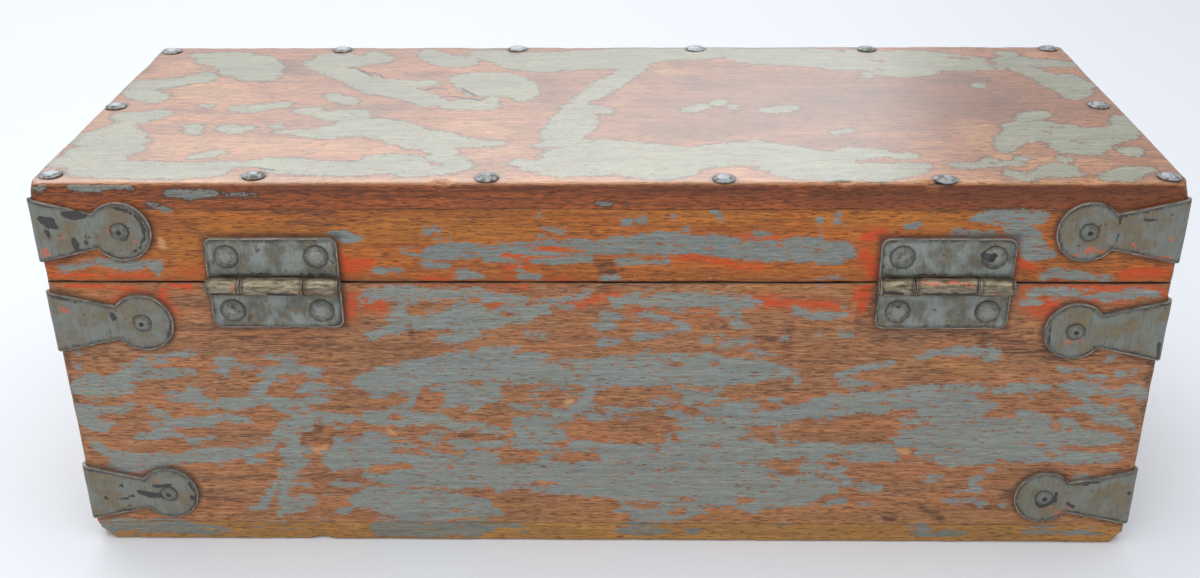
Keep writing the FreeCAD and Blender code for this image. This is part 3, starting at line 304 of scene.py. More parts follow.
HINGE_SIDE_BARE += in_threes(
    (5,110.5,0.6, 22,110.6,0.7, 44,110.3,0.6), (14,116,0.7, 20,115.2,0.7), (46,116,0.7, 52,115,1),
    (22.5,78.8,0.9, 28,80.3,0.8), (26,85.3,0.8, 30,85.8,0.7), (41.5,85.3,0.7, 43.5,86,0.8), (0,73.3,1.2,
    7,73.3,1.4, 14,72.6,2, 21,72.3,2, 27.5,72,1.9), (29,75.6,0.9, 36.5,76,1), (40,75.2,0.6, 49,75,0.6),
    (2,68,3, 8,67.7,2.8, 15,68,2.6), (0,60.5,0.9, 9,60.6,1), (17,66,0.8, 24,67.4,1), (30,65,0.9, 34,66,1.8,
    37,67.3,1.2, 41,67.2,0.9, 45,69,0.7), (33,63,0.8, 38,64,0.8), (46.5,71.6,1.2, 52,71.6,2.2, 60,73,4,
    66,75,4.4, 71,77.5,2.4), (52,76.3,1.2, 58,76.4,1.5), (56.5,64.5,0.8, 62,65,0.8), (2,55,4.4, 11,55,4.4,
    20,55,4, 29,56.6,2, 33.5,56,1.2), (27,52.4,1, 30,51,0.9), (22,51,1.2, 21,48,1), (4,49,1.2, 16,49.6,0.9),
    (43,47,0.6, 47,47.5,0.8), (54,52,1, 60,52.6,2.2, 66,53.2,3.2), (72.5,55,3.4, 78,54.5,4.6, 86,54.6,4.8,
    94,54.8,4.6, 103,55,5.2, 114,56.5,5.6), (55,38.8,1, 62,40,1.4, 70,40,1.9, 81,41.3,0.8), (69,37.5,3,
    74,36.5,2.6, 76,34,2, 81,34,0.8), (66,35,1, 69,33,1), (86,35.4,0.9, 89,34.5,0.9), (91.3,37,1),
    (89.5,43.2,0.7, 95.5,43,0.8), (98.4,45,1.1), (92,31,1, 97,31.4,0.7), (98,38,1.4, 104,38.6,2.2, 114,38,3),
    (100,33,0.8, 113,32.4,2.6), (90,23,0.8, 98,24,0.9, 106,25,1.2), (55,21.4,1.1, 61,22,0.8), (30,21.6,0.7,
    35.5,21.2,0.7), (68,28.4,0.6, 71,28.4,0.5), (15,36.3,0.5, 26,36,0.5), (118,46,1.8, 122,45,3),
    (129,43,1.2, 132.5,42,1.9, 133,39.5,1), (179.3,60.6,1.7, 181,57.6,2, 179,55.6,1.2), (152,61.6,1.2,
    157,62.6,2, 163,63.4,1), (175.2,59.7,0.6), (173.6,59.6,0.5), (185.5,55.6,0.8), (177,49.2,0.7,
    175.5,48.2,0.6), (178.6,44,1.5, 181,44,1.5), (192,59.6,1.7, 196,58,1.9, 199,55.3,1.7, 206,53,1.2),
    (181,48.2,0.8, 188,47.6,1.1, 196,48,1.6, 205,48.6,1.2, 214,50,2), (114,64.4,1, 120,64.2,0.9,
    126,64.5,0.7), (149.5,70,1.3, 156,70.6,1.5, 164,69.4,2, 172,69,2.4, 180,69,2.8, 185.5,67.4,2.2),
    (177,65.5,1.6, 184,64.8,1), (194,70.3,1.8, 200,69,1.4, 207,69,1), (208,64.8,1.2, 213.5,65.6,1.5),
    (152,74,0.8), (114,59,3.4, 118,57,2))
print("hinge side:", len(HINGE_SIDE_PAINT), "paint and", len(HINGE_SIDE_BARE), "bare strokes")

# %% Strokes on the hinge side of the lid
HINGE_SIDE_PAINT += in_threes(
    (-215,160.4,0.9, -210,161,1.1), (-199,161.6,1.3, -192,161.4,1.9, -185,161.8,1.2, -177,161.4,0.9),
    (-163,158.6,1.2, -155,158,1.9, -146,158.4,1.2), (-142,158,0.6, -130,158.4,0.5), (-171,153.8,0.9,
    -164,152.2,0.8), (-194,131,0.9, -188,129,1.8, -182,129,1.9, -176,130,1.5, -170,128.6,1.2), (-173,127,0.9,
    -171.5,125,0.9), (-209,127,0.8, -203,128,0.9, -197,130,0.8), (-103,143,1, -99,142,1.9, -93,140,1),
    (-88,126.6,0.8, -82,126.6,1.1, -77,126.4,0.8), (-77,134.6,0.7, -73,134.2,0.7), (-68,134,1, -64,134.8,3,
    -57,135,3.4, -50,135.3,2.4, -40,135.4,2.2, -30,136.2,2.4, -20,136.6,3, -10,136.2,3.2, 0,136.8,3,
    8,137.3,3, 14,138.4,3.8, 22,138.2,4, 31,138,3.8, 40,137.2,4, 50,136.6,4, 60,135.6,4, 70,136.2,4.6,
    80,135.4,4.6, 87,134.2,4.2, 92,134.8,3), (84,137.3,1.4, 91,137,1.2), (-45,131.6,1, -33,131.2,1,
    -20,131,1, -6,131.3,0.8), (5,130.6,0.8, 16,130.6,0.9, 24,130.4,0.7), (-69,129,0.7, -60,128,0.7),
    (-56,126.4,1.3, -53,125,2.2, -47.5,124.2,1.2), (-32,126.3,0.9, -31,124,1.4, -26,123.4,1), (0,123.4,0.9,
    5,123.6,1), (-68,143.5,0.7, -63,143.4,0.7), (-65,140.2,0.6, -59,140.6,0.7), (-25,150,0.8), (-22,144,0.6,
    -16,142.6,0.6), (-24.5,141,0.8), (7,147,0.6, 9,147,0.6), (13,148,1, 15,148,0.9), (25.5,150,0.9),
    (31,144.2,0.9), (41,151,0.6), (43,148.5,0.7), (-3,154.2,0.8, 1.5,154.6,1), (57,142,0.6, 62,142,0.6),
    (8,154.3,0.5), (87,150.6,0.7, 86.6,148.6,0.7), (80,147.5,0.6), (81,142,0.9), (113,145,0.6, 118,146,0.5),
    (78,122.6,0.6, 92,122.7,0.8), (137,148.6,1, 141.5,149.4,2.3, 148,149,3.4, 156,149.2,3, 162,149.4,2.6),
    (150,144.6,2, 156,143,3.6, 160,139,4.6, 161,135,3.8, 168,134,1.5), (131,142.2,0.9, 138,142,1,
    147,142.6,1), (166,124,1.3, 170,126.8,1.3, 176,125,1.5, 183,124.4,1.5, 191,123.6,0.9), (-57,123,0.7,
    -48,123.2,0.7))
HINGE_SIDE_BARE += in_threes(
    (63,139.8,0.9, 66.5,138,0.8), (155,148.6,0.7, 157,148.4,0.6), (160,142.8,0.8), (52,140.6,0.8, 58,140.4,1,
    64,140.8,0.8), (-38,134,0.9, -33,132.6,1), (-27,135.6,0.8, -17,135.9,0.7, -8,135.6,0.6), (-22,133.4,0.5,
    -8,133.2,0.5))
HINGE_SIDE_PRIMER = in_threes(
    (-205,120,0.9, -190,119.6,1.1, -178,118,1.4), (96,115,2, 100,119,2), (164,119,1.4, 190,119.6,1,
    212,118,1.6), (-101,130,2.6, -92,130,2), (98,135,1.4, 100,130,2.2, 101,125,1.6), (-216,124.4,0.9,
    -175,124.4,0.9), (-92,113,3, -88,112,3.2), (-98,116,1.6, -100,108,3), (-43,112.6,1.4, -37,113,1.2),
    (-17,111,0.9, -11,112.6,1.3, -5,114.5,1.2, 0,115.8,0.8), (2,117,0.8, 5,116.6,0.7), (-70,123,0.8,
    -60,123,0.8), (-38,122.9,0.8, -30,122.9,0.8), (-21,122.9,0.8, -14,122.9,0.8), (-38,128.6,1, -29,128,0.9),
    (-40,133.4,1.6, -30,132.4,1.3), (-27,135.4,1.3, -14,135.9,1.2, -2,135.6,0.7), (-22,133.2,0.6,
    -8,132.8,0.6), (26,132.2,1, 36,132.8,1.1, 42,131,1.1, 48,131,1), (48,129,1.2, 60,128.6,1), (52,140.4,1.3,
    60,140.6,1.5, 66,138.6,1.3), (96,133,1.4, 100.6,130,3, 102,125,2), (98,141,2, 104,143,1.6),
    (-103,131,3.4, -97,128,3, -90,130,2), (-107,126,3), (157,137,2, 158.5,130,2.2, 163,127.6,1),
    (197,125.4,2, 204,126,2.6, 212,125.8,2), (183,123.4,1), (160,118.6,1.5, 168,120.4,0.8, 180,120.4,0.8,
    195,119.6,1, 207,120,1, 213,117.4,1.8), (161,113,2.4, 167,111,4, 172,112,3, 172,107,2), (183,115,1,
    192,114,1, 200,114.4,1), (58,112.6,1.2, 66,113.4,1.6, 74,112.6,1.4, 84,112.4,2, 89,111.6,1.5),
    (55,116,0.8, 66,115.4,0.7), (96,119,1.3, 99,116,2.4, 98.5,110,1), (10,110.6,0.6, 25,110.9,0.7,
    44,111,0.6), (8,112.3,0.5, 30,112.6,0.5), (-170,118.5,1.4, -173,112,2.6, -168,109,1.4), (-208,120.4,0.8,
    -196,120.2,1, -186,119,0.8), (-192,113,0.8, -186,116,1), (-162,126.6,0.5, -156,126,0.9), (-216,136,1.4,
    -214,131,1.6), (-168,121,0.8, -160,119.6,1), (-45,119.8,0.6, -30,120.3,0.5), (-62,122.9,0.6,
    -50,122.8,0.5), (205,137,1.5, 213,134,1.3))
print("hinge side with lid:", len(HINGE_SIDE_PAINT), "paint,", len(HINGE_SIDE_BARE), "bare,",
      len(HINGE_SIDE_PRIMER), "primer strokes")

# %% Strokes on the lid's top, across and in from the hinge side
TOP_PAINT = in_threes(
    (-196,160,2.4, -186,158,6, -176,154,9, -168,147,12, -165,140,13, -160,132,9, -154,126,3), (-190,152,3,
    -182,146,6), (-211,117,3.6, -203,116,5, -196,119,5, -189,123,5, -182,126,4), (-211,107,2.6, -205,103,5,
    -198,99,5, -197,94,1.8), (-213,50,3, -207,48,8, -198,50,9, -192,44,7), (-203,74,4, -196,73,6, -189,77,4),
    (-200,62,4, -202,56,5), (-206,33,5, -197,34,7, -190,36,6), (-211,22,4, -202,24,6, -194,26,6), (-199,14,5,
    -190,14,7, -180,14,7.4, -170,13,7, -160,13,7, -151,14,6.4, -144,19,3), (-137,20,2, -130,21,3.4,
    -122,18,7, -112,16,6, -101,15,5.4, -93,15,6, -86,20,9, -78,20,8, -73,14,6), (-160,27.6,0.9, -155,30,2,
    -151.5,32.6,1.4), (-184,128,4), (-134,55,0.8, -127,55.4,1.4, -119,54,4.4, -111,56,6.6, -103,60,8.4,
    -94,60,9.4, -87,57,9.6, -80,50,8.4, -75,43,6), (-119,76,3.4, -112,75,5.4, -106,76,5.4, -104,69,4.4),
    (-131,81,1.6, -124,81,2.2), (-136,148,5, -129,140,6, -123,134,6, -116,127,6, -109,120,6.6, -101,112,7.4,
    -91,106,6.4, -83,100,5.4, -76,93,5), (-134,158,3, -126,154,5.4, -117,150,6.4, -108,154,5, -112,162,2.4),
    (-98,119,3, -89,115,4.4, -80,118,3), (-86,163,4, -81,156,6, -76,150,6, -70,150,8), (-157,84,2.4,
    -151,84,3.4, -145,86.4,2.8, -139,89,2), (-172,87.6,1.6), (-170.4,62,1.9, -169,57,2, -168,54,1.2),
    (-156,60,2.4, -152,58,3, -148,60,1.6), (-121,100,1.8, -115,96,3.4, -110.5,92.4,2.4), (-136,62,1.2),
    (-66,124,4.6, -58,126,5.6, -50,126,5.4, -43,121,6, -40,113,7, -36,104,5, -37,97,2.8), (-60,118,8,
    -54,110,9, -46,106,6), (-67,88,4, -60,89,5, -52,88,4.4, -50,95,1.8), (-60,162,5, -50,157,8, -40,151,12,
    -30,149,14, -20,151,12.6, -10,153,13, 0,154,14, 9,157,13, 18,160,11, 28,162,9, 38,162,9, 50,164,8,
    61,165,8, 69,160,13, 78,158,13, 88,157,12.6, 98,155,13, 106,151,14, 115,152,14, 125,149,15, 134,146,19,
    142,150,15, 151,149,13, 160,147,10.6, 168,146,9, 175,144,7), (12,142,5, 8,132,4, 4,123,4.6, -1,115,5.6,
    -4,107,3.8, -8,99,3.6, -12,93.4,2.6), (-13,84,5, -13,76,7, -14,66,8.6, -16,57,8.4, -18,49,7, -20,43,4),
    (-6,82,4, -1,80.6,2.6), (-26,40,1.8, -20,42,3), (-9,40,4, 0,34,11, 10,26,16, 20,22,17, 30,26,11,
    38,27,10, 48,30,11, 58,31,12, 68,26,13, 76,19,14, 86,18,14, 92,17,12, 101,11,8, 109,12.6,5.6, 116,15,4.4,
    121,17,1.4), (-33,21,2, -26,18,5, -16,18,10, -6,22,14), (-20,30,4, -12,34,5), (96,32,4.4, 103,31,3.6,
    111,28.6,2.4, 117,28.6,2.2), (-71,48,8, -64,45,7, -57,42.6,3.4, -49,42.4,2.2, -42,42,1.2), (-67,36,3.6,
    -62,32,3.2, -65,27,3.4, -59,23,4.4, -55,18,3.6, -60,13.6,2.6, -69,13,3.6), (34,81.6,1.8, 38,85,2.4,
    41,86.4,1.4), (47.6,92,1.6, 46,89,1.4), (54,86,1.2), (68,81,2.2, 73,82,3, 78,84,1.8), (180,148,4,
    188,148,5.6, 196,147,5, 205,145,4, 211,144,3), (188,139,4, 193,131,4, 197,122,6, 201,114,8, 203,106,6,
    200,99,3), (205,124,4.6, 209,114,4), (187,160,3.6), (171,69,1.8, 176,73.6,3.8, 182,76.4,1.8), (164,62,2,
    169,60,5.4, 168,53,7.4, 162,47,5, 158,41,4, 156,35,2), (177,62,4.4, 185,58,5, 191,53,6, 199,50,7,
    206,53,6, 211,61,4.4, 212,70,3), (181,45,6, 180,37,4.4, 187,34,4, 193,40,4.4), (204,33,3.6),
    (133,18.6,0.9, 140,18,1.4, 145,19.4,1), (147,23,1.6), (150,19,0.9, 157,20,0.9), (160,25,1.2),
    (176,25,1.6), (161,9,1.8, 168,12,4.6, 172,13,5.4, 175,11,2.6), (152,9.4,1.8, 157,6.4,2.4), (187,6,2.4,
    192,8.4,4, 198,12,3.4, 204,14,1.8), (93,54,0.8, 98,56.6,0.9), (117,131,1.4, 116.6,128,1), (163,115,1.3,
    162.6,112,1))
TOP_BARE = in_threes(
    (-190,139,9, -197,133,9, -206,142,7), (-175,106,17, -168,104,17), (-110,24,2, -101,25,3, -94,25.6,2),
    (-45,164,4.6, -43,168,4), (50,152,1.3, 55,157.6,1.6), (36,8,3.4, 42,11,5.6, 50,14,5.6, 57,17,3),
    (121,150.4,2, 126,149,3), (117,136,1.6, 124,136,2.6), (110,165,3), (177,153,3, 176,143,3, 176,134,2),
    (160,154,2.6, 166,154,3.4), (198,138,3, 205,138,3.6), (97,22,3.4, 104,23.4,4.4, 109,26,2.6),
    (-198,28.6,1.4, -197.4,25,1.2), (-194,64,0.9, -193.6,62,1), (181,59.6,2.6, 186,60,2), (185,44,2.4,
    188,42,1.6), (-35,36.4,1, -36,34,0.9), (-134,11,5), (-66,19,1.6, -61,20,0.9), (-77,105,3, -72,101,2.6),
    (170,168,2.4), (93,165,2.4), (202,46,1.6))
print("top:", len(TOP_PAINT), "paint and", len(TOP_BARE), "bare strokes")

# %% Stains, yellow wood, raw wood and scratches
HINGE_SIDE_STAIN = in_threes(
    (-4,131,1.6, 1,128,3, 2,124,3, 0,119,2.4, 2,116,1.4), (118,13,3), (165,25,2.6), (-123.6,47,0.9,
    -124,51.4,1.5, -120.4,55,1.8, -116,55.6,1.5), (-112.6,46,0.6, -112,51,0.8), (214,90,2, 215,76,3,
    214.6,67,2.6), (78,157,5, 140,157.4,6, 214,157,7), (-30,161,2, 60,160.6,3), (-130,160,2.4, -90,159,3),
    (148,96,3, 162,93,4, 176,91.6,3.4, 190,92,2), (99,105,2.4, 100,114,3, 99.6,119,2), (-47,158,1,
    -53,155,1), (70,95,2, 72,104,1.4), (-214,78,1.6, -214,62,1.6), (-215,50,1.6), (-155,100,1, -140,97.5,0.8,
    -122,98.5,0.7, -108,97,0.7), (-140,95,0.5, -100,93,0.5), (-60,52.2,0.7, -38,52,0.7), (115,84,0.7,
    135,82.5,0.9), (120,86,0.6, 132,87,0.6), (118,79.4,0.7, 133,77.6,0.8), (2,55,0.8, 22,57.6,0.7),
    (44.5,3,1.4), (-44.5,4,0.9, -44,1.6,1.2), (104,97,0.6, 140,100,0.7, 160,98,0.8), (150,19,0.9,
    166,17,0.9), (-150,20,0.8, -170,22,0.8), (-214,100,1.2, -214,84,1.2), (128,20,1.2, 139,12,1.6),
    (4,159.4,0.8, 60,158.6,1, 72,156,1), (80,160.6,0.9, 110,160.6,1, 112,156.4,0.8), (148,160.6,1.2,
    170,160.4,1.2), (-150,152,0.7, -125,151,0.8, -100,150.4,0.7), (-146,161,0.8, -118,158,0.7),
    (-120,147,0.5, -100,146,0.5), (-77,103,0.8, -75,96,0.8), (0,105.4,0.8, -4,108,0.7), (42,103,0.9),
    (58,98.6,1, 66,97,0.9), (-62,160,0.7, -30,160,0.8))
HINGE_SIDE_OCHRE = in_threes(
    (-212,4.5,5, -100,4.5,5.6, 0,6,8, 100,7,10, 160,7,11, 212,6,7), (-46,15,5, -10,14,6, 40,12,5),
    (-150,143,4, -110,143,4, -60,144,5, -30,142,4), (-182,6.4,3, -158,5.6,3.6, -140,7,3), (62,15,4.4,
    100,14,5, 136,13,4), (80,148,3, 130,148,3.6), (10,149,2.6, 60,150,2.4), (115,118,2, 60,118.6,2.4,
    30,118,2), (120,85,4, 140,84,4.4, 160,87,2), (-210,120,2.4, -190,117.6,2), (-205,82,3, -200,86,2.4),
    (-40,71,1, -30,71.4,1), (3,73,1, 26,72.4,1.6), (-135,137,3, -165,136,3))
HINGE_SIDE_RAW = in_threes(
    (-120.6,45.6,1.8, -117,44.6,2.2, -114.4,46.4,1.6), (-143,93.4,0.5, -120,93,0.5, -98,93.6,0.4),
    (117,46.4,1, 122,45,2.2), (10,108,0.5, 12,92,0.5), (12.4,90,0.4, 12.8,72,0.4), (21,57,0.4, 21.6,47,0.6),
    (14.6,71,0.5, 16.4,67.4,0.5), (41,102,0.4, 44,97,0.4), (-157,23,0.9, -153,23.4,0.9), (180,59.6,1,
    180.4,57,1.1), (-88,54.6,1.6, -86,53.4,1.6), (-61,43,1, -59,44,1), (-41,53,1.4, -38.6,53.4,1.4),
    (-15.6,67.6,2, -13.6,69.6,1.6), (54,76.4,0.8, 58.6,76.4,1), (30,75.7,0.7, 36,76,0.8), (35,5,1.2,
    40,5.4,0.8), (-166,8.4,0.8, -162,8,0.8), (-209,8,0.6, -206,7.6,0.6), (192,60,1, 196.6,58,1.2),
    (122,88.6,0.4, 140,86,0.4), (124,81.4,0.4, 142,80.6,0.4), (-72,10.6,0.7, -63,10.6,0.7), (60.6,15,1,
    62,13.4,0.8), (208.4,65,0.9, 212,65.8,0.9), (10.8,128,0.3, 11.4,124.4,0.3), (40,127,0.3, 40,123,0.3),
    (-100,62,1.2), (-143.6,160.6,0.4, -139,159,0.3), (-168.6,139.2,2.1, -168.2,137.2,2.3))
TOP_STAIN = in_threes(
    (-152,146,8, -146,138,7, -138,132,5), (-30,126,5, -25,114,6, -22,102,6, -28,94,3), (32,146,4, 44,146,5,
    60,142,5), (36,124,4, 42,112,5), (20,58,8, 36,55,9, 52,60,8, 66,62,6), (-110,76,4, -96,84,8, -84,90,4),
    (84,100,4, 98,92,5, 104,90,4), (146,120,6, 160,124,7, 168,120,5), (112,104,5, 132,106,5), (-78,132,6,
    -90,128,4), (80,42,6, 96,44,5, 112,40,5), (168,92,5), (-183,82,2, -168,80,2.4), (-60,158,3, -56,150,2),
    (170,121,1.4), (135.6,165,1.4), (-154,120,2), (72,26,1), (158.6,29,1), (9,104,0.7, 9.4,108,0.7),
    (-55,60,1, -58,57,0.9), (-117.6,118,0.9), (206,20,2), (-211,145,1), (176,169,3), (130,38,1, 124,34,1))
TOP_CRACKS = in_threes(
    (-117,141,0.5, -114.7,137,0.8, -111,133,0.9, -106.5,127,0.6), (-109,134,0.5, -104.5,131,0.8,
    -101,124,0.5), (-80.5,108.5,1, -76.5,111.5,0.8, -70,109,0.7), (-64.8,110.6,0.8, -57.6,100,1),
    (-70,100,0.7, -62.5,97.5,0.9, -55,94,0.9), (-133,16,0.7, -126.4,13.6,1), (-20,92,0.3, -30,78,0.3),
    (120,1,1, 124,2,0.8))
TOP_OCHRE = in_threes(
    (-196,150,8, -200,138,7), (-176,108,15, -160,92,10), (-170,40,12, -140,38,9, -110,38,7, -88,36,5),
    (-60,64,8, -44,56,5), (30,132,7, 26,134,5), (12,112,6, 4,92,5), (60,96,7, 70,110,6), (150,62,7, 150,40,7,
    160,22,6, 190,22,4), (130,74,6), (-40,34,6, -52,28,4), (-215,90,3, -214,20,3), (200,158,5), (48,12,5),
    (-190,4,3, -60,3,3, 40,3,2, 200,3,3))
TOP_RAW = in_threes(
    (-80,108,1.4, -75,101,1.6, -72,97,1.2), (-71,110,1, -67,104,1), (-114,138,0.9, -112,134,0.7),
    (-59,93.4,0.8), (-130,14.6,0.6, -126,13.4,0.5), (-160,19.6,0.5, -153,19.4,0.5), (-118,77.6,0.7),
    (-104,132,0.5, -102,126,0.5), (88,0.8,1, 92,0.8,0.8), (-12,99.6,0.6))
print("tones:", len(HINGE_SIDE_STAIN + TOP_STAIN), "stains,",
      len(HINGE_SIDE_OCHRE + TOP_OCHRE), "yellow areas,",
      len(HINGE_SIDE_RAW + TOP_RAW), "raw spots")

# %% [markdown]
# ## Wear for the sides with no list of their own
# The other three sides had the same life, so they get strokes of the same kind, drawn by a seeded hand:
# long islands of paint that drift a little up and down, small chips between them, and bare cuts that
# follow the grain. The same seed gives the same box every time.


# %% A hand that draws strokes
def drawn_stroke(hand, across, up, length, height):
    """One island that starts at (across, up), runs with the grain and thins out at both ends."""
    steps = max(2, round(length / 9))
    points = []
    drift = 0.0
    for i in range(steps + 1):
        drift += hand.uniform(-1.2, 1.2)
        taper = math.sin(math.pi * (i + 0.55) / (steps + 1.1)) ** 0.6
        half_height = max(0.6, height * taper * hand.uniform(0.7, 1.15))
        points.append((across + length * i / steps, up + drift, half_height))
    return points


def worn_side(seed, half_width, low, high, islands, stains, yellows, raws):
    """Strokes of every kind for a side from -half_width to half_width. Some primer strokes also stain the
    wood, and some bare ones are yellow or raw: the last three arguments say which."""
    hand = random.Random(seed)
    start = -half_width + 4

    def small(room, lengths, heights):
        """A small stroke anywhere on the side that leaves this much room at the far end."""
        across, up = hand.uniform(start, half_width - room), hand.uniform(low, high)
        return drawn_stroke(hand, across, up, hand.uniform(*lengths), hand.uniform(*heights))

    paint, bare = [], []
    for _ in range(islands):
        length = hand.uniform(26, 105)
        across, up = hand.uniform(start, half_width - length * 0.7), hand.uniform(low + 4, high - 4)
        paint.append(drawn_stroke(hand, across, up, length, hand.uniform(2.4, 6.6)))
    for _ in range(islands * 3):
        paint.append(small(12, (4, 20), (0.8, 2.0)))
        bare.append(small(20, (6, 40), (0.8, 2.4)))
    primer = [small(20, (4, 24), (0.7, 2.0)) for _ in range(islands // 2)]
    return dict(paint=paint, bare=bare, primer=primer,
                stain=primer[stains], ochre=bare[yellows], raw=bare[raws])


front_wear = worn_side(11, 216, 18, 158, 44, slice(3, 9), slice(4, 9), slice(20, 24))
right_wear = worn_side(23, 86, 20, 158, 19, slice(2, 5), slice(2, 5), slice(8, 10))
left_wear = worn_side(37, 86, 20, 158, 19, slice(2, 5), slice(2, 5), slice(8, 10))
for title, wear in (("front", front_wear), ("right end", right_wear), ("left end", left_wear)):
    print(title, {kind: len(strokes) for kind, strokes in wear.items()})


# %% How deep a point lies in the strokes
OUTSIDE = -5.0  # the depth of every place this far or farther from a stroke


def stroke_depth(places, strokes):
    """For each (across, up) the depth inside the strokes in millimetres, below zero outside them."""
    depth = np.full(len(places), OUTSIDE)
    across, up = places[:, 0], places[:, 1]
    for stroke in strokes:
        ends = stroke if len(stroke) > 1 else stroke * 2
        for (ax, ay, ah), (bx, by, bh) in zip(ends, ends[1:]):
            reach = max(ah, bh) - OUTSIDE
            near = np.nonzero((across > min(ax, bx) - reach) & (across < max(ax, bx) + reach)
                              & (up > min(ay, by) - reach) & (up < max(ay, by) + reach))[0]
            if not len(near):
                continue
            dx, dy = bx - ax, by - ay
            px, py = across[near] - ax, up[near] - ay
            along = np.clip((px * dx + py * dy) / max(dx * dx + dy * dy, 1e-9), 0, 1)
            inside = ah + along * (bh - ah) - np.hypot(px - along * dx, py - along * dy)
            depth[near] = np.maximum(depth[near], inside)
    return depth


def rectangle_depth(places, low, high):
    """The same for an upright rectangle between two corners."""
    centre = (np.array(low) + np.array(high)) / 2
    half = (np.array(high) - np.array(low)) / 2
    return (half - np.abs(places - centre)).min(axis=1)


print("a point 2 mm inside a 5 mm stroke:", stroke_depth(np.array([[0.0, 3.0]]), [[(-9, 0, 5), (9, 0, 5)]]))

# %% [markdown]
# ## Where the ironwork presses on the wood
# Dirt gathers round every strap and hinge leaf, and paint is worn there. Each side holds the outlines of
# the fittings that lie on it, so that the finish can darken the wood just outside them with dirt, and under
# them with painted shade.


# %% Outlines of the fittings, side by side
HALF_LENGTH, HALF_DEPTH, TOP_HEIGHT, SEAM_HEIGHT = 216.0, 86.5, 162.6, 121.85
DISC_RADIUS = 12
LEAVES = [f"{side}_hinge_{part}_leaf" for side in ("right", "left") for part in ("lid", "case")]


def strap_outline(end, disc, height):
    """A keyhole strap that starts at a corner of the box, at end, and finishes in a disc round disc."""
    inward = 1 if disc > end else -1
    neck = end + inward * 6
    return [[(end, height, 12.6), (neck, height, 12.4)],
            [(neck, height, 12), (disc - inward * 9, height, 6.8)],
            [(disc, height, 11.9)]]


def strap_outlines():
    """The outlines of the twelve straps, sorted by the side of the box that they lie on."""
    on_side = {"+x": [], "-x": [], "+y": [], "-y": []}
    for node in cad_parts:
        if "_strap_back_" in node or "_strap_front_" in node:
            low, high = (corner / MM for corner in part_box(node))
            middle = (low + high) / 2
            x_sign, y_sign = (1 if middle.x > 0 else -1), (1 if middle.y > 0 else -1)
            disc_x = x_sign * (min(abs(low.x), abs(high.x)) + DISC_RADIUS)
            disc_y = y_sign * (min(abs(low.y), abs(high.y)) + DISC_RADIUS)
            across = -1 if y_sign > 0 else 1
            long_side, end_side = ("+y" if y_sign > 0 else "-y"), ("+x" if x_sign > 0 else "-x")
            on_side[long_side] += strap_outline(across * x_sign * HALF_LENGTH, across * disc_x, middle.z)
            on_side[end_side] += strap_outline(y_sign * HALF_DEPTH, disc_y, middle.z)
    return on_side


strap_marks = strap_outlines()
leaf_corners = []
for node in LEAVES:
    low, high = (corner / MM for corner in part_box(node))
    leaf_corners.append(((-high.x, low.z), (-low.x, high.z)))
print("strap outlines:", {side: len(marks) for side, marks in strap_marks.items()})
print("hinge leaves:", len(leaf_corners))

# %% [markdown]
# ## Boards
# Every board is planed stock: a box whose long edges were rounded by use. Each is a primitive cube at its
# size and place, bevelled in edit mode, then cut into cells a little over a millimetre wide, because the
# wear strokes are stored on its corners and the knocks along its edges move them. The cells are small
# only where the wear was listed stroke by stroke.


# %% Cutting tools for boards
EASED = 0.15  # how far a sharp edge is taken off
THICKNESS, THROUGH = 13, 4.0  # no board is thicker than the first; the cells through it measure the second


def pick_edges(obj, rule):
    """Selects the edges that satisfy the rule, and nothing else, on an object in edit mode."""
    mesh = bmesh.from_edit_mesh(obj.data)
    for face in mesh.faces:
        face.select = False
    for edge in mesh.edges:
        edge.select = rule(edge)
    bmesh.update_edit_mesh(obj.data)


def sharper_than(degrees):
    """A rule for edges where two faces meet at more than this angle."""
    return lambda edge: len(edge.link_faces) == 2 and edge.calc_face_angle() > math.radians(degrees)


def cut_cells(obj, axis, length, cell):
    """Cuts the edges that run along one axis into equal cells, in passes of at most ten cuts."""
    wanted = max(1, round(length / cell))
    first = max(1, round(wanted ** 0.5))
    shortest = 0.45 * length

    def runs_along(edge):
        along = (edge.verts[1].co - edge.verts[0].co) / MM
        return abs(along[axis]) > shortest and abs(along[axis]) > 0.999 * along.length

    for parts in (first, max(1, round(wanted / first))):
        if parts < 2:
            continue
        pick_edges(obj, runs_along)
        bpy.ops.mesh.subdivide(number_cuts=parts - 1)
        shortest = 0.45 * length / parts


def plank(name, node, cell, rounds):
    """A board of the node's size. rounds is a list of (radius, rule) for the edges that use has rounded."""
    low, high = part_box(node)
    deselect()
    bpy.ops.mesh.primitive_cube_add(size=1, location=(low + high) / 2)
    board = active()
    board.name = name
    board.scale = high - low
    bpy.ops.object.transform_apply(location=True, rotation=True, scale=True)
    bpy.ops.object.mode_set(mode="EDIT")
    bpy.ops.mesh.select_mode(type="EDGE")
    for radius, rule in rounds:
        pick_edges(board, lambda edge: rule(*(end.co / MM for end in edge.verts)))
        bpy.ops.mesh.bevel(offset=radius * MM, segments=5, affect="EDGES")
    pick_edges(board, sharper_than(60))
    bpy.ops.mesh.bevel(offset=EASED * MM, segments=2, affect="EDGES")
    size = (high - low) / MM
    for axis in range(3):
        cut_cells(board, axis, size[axis], cell if size[axis] > THICKNESS else THROUGH)
    bpy.ops.object.mode_set(mode="OBJECT")
    bpy.ops.object.shade_smooth_by_angle(angle=math.radians(35))
    print(name, [round(v, 1) for v in size], "corners:", len(board.data.vertices))
    return board


# %% Which edges of a board use has rounded
def is_at(value, target):
    return abs(value - target) < 0.1


def outer_upright(a, b):
    """An upright edge at one of the box's four outer corners."""
    upright = abs(a.z - b.z) > 5 and is_at(abs(b.x), HALF_LENGTH)
    return upright and is_at(abs(a.x), HALF_LENGTH) and is_at(abs(a.y), HALF_DEPTH)


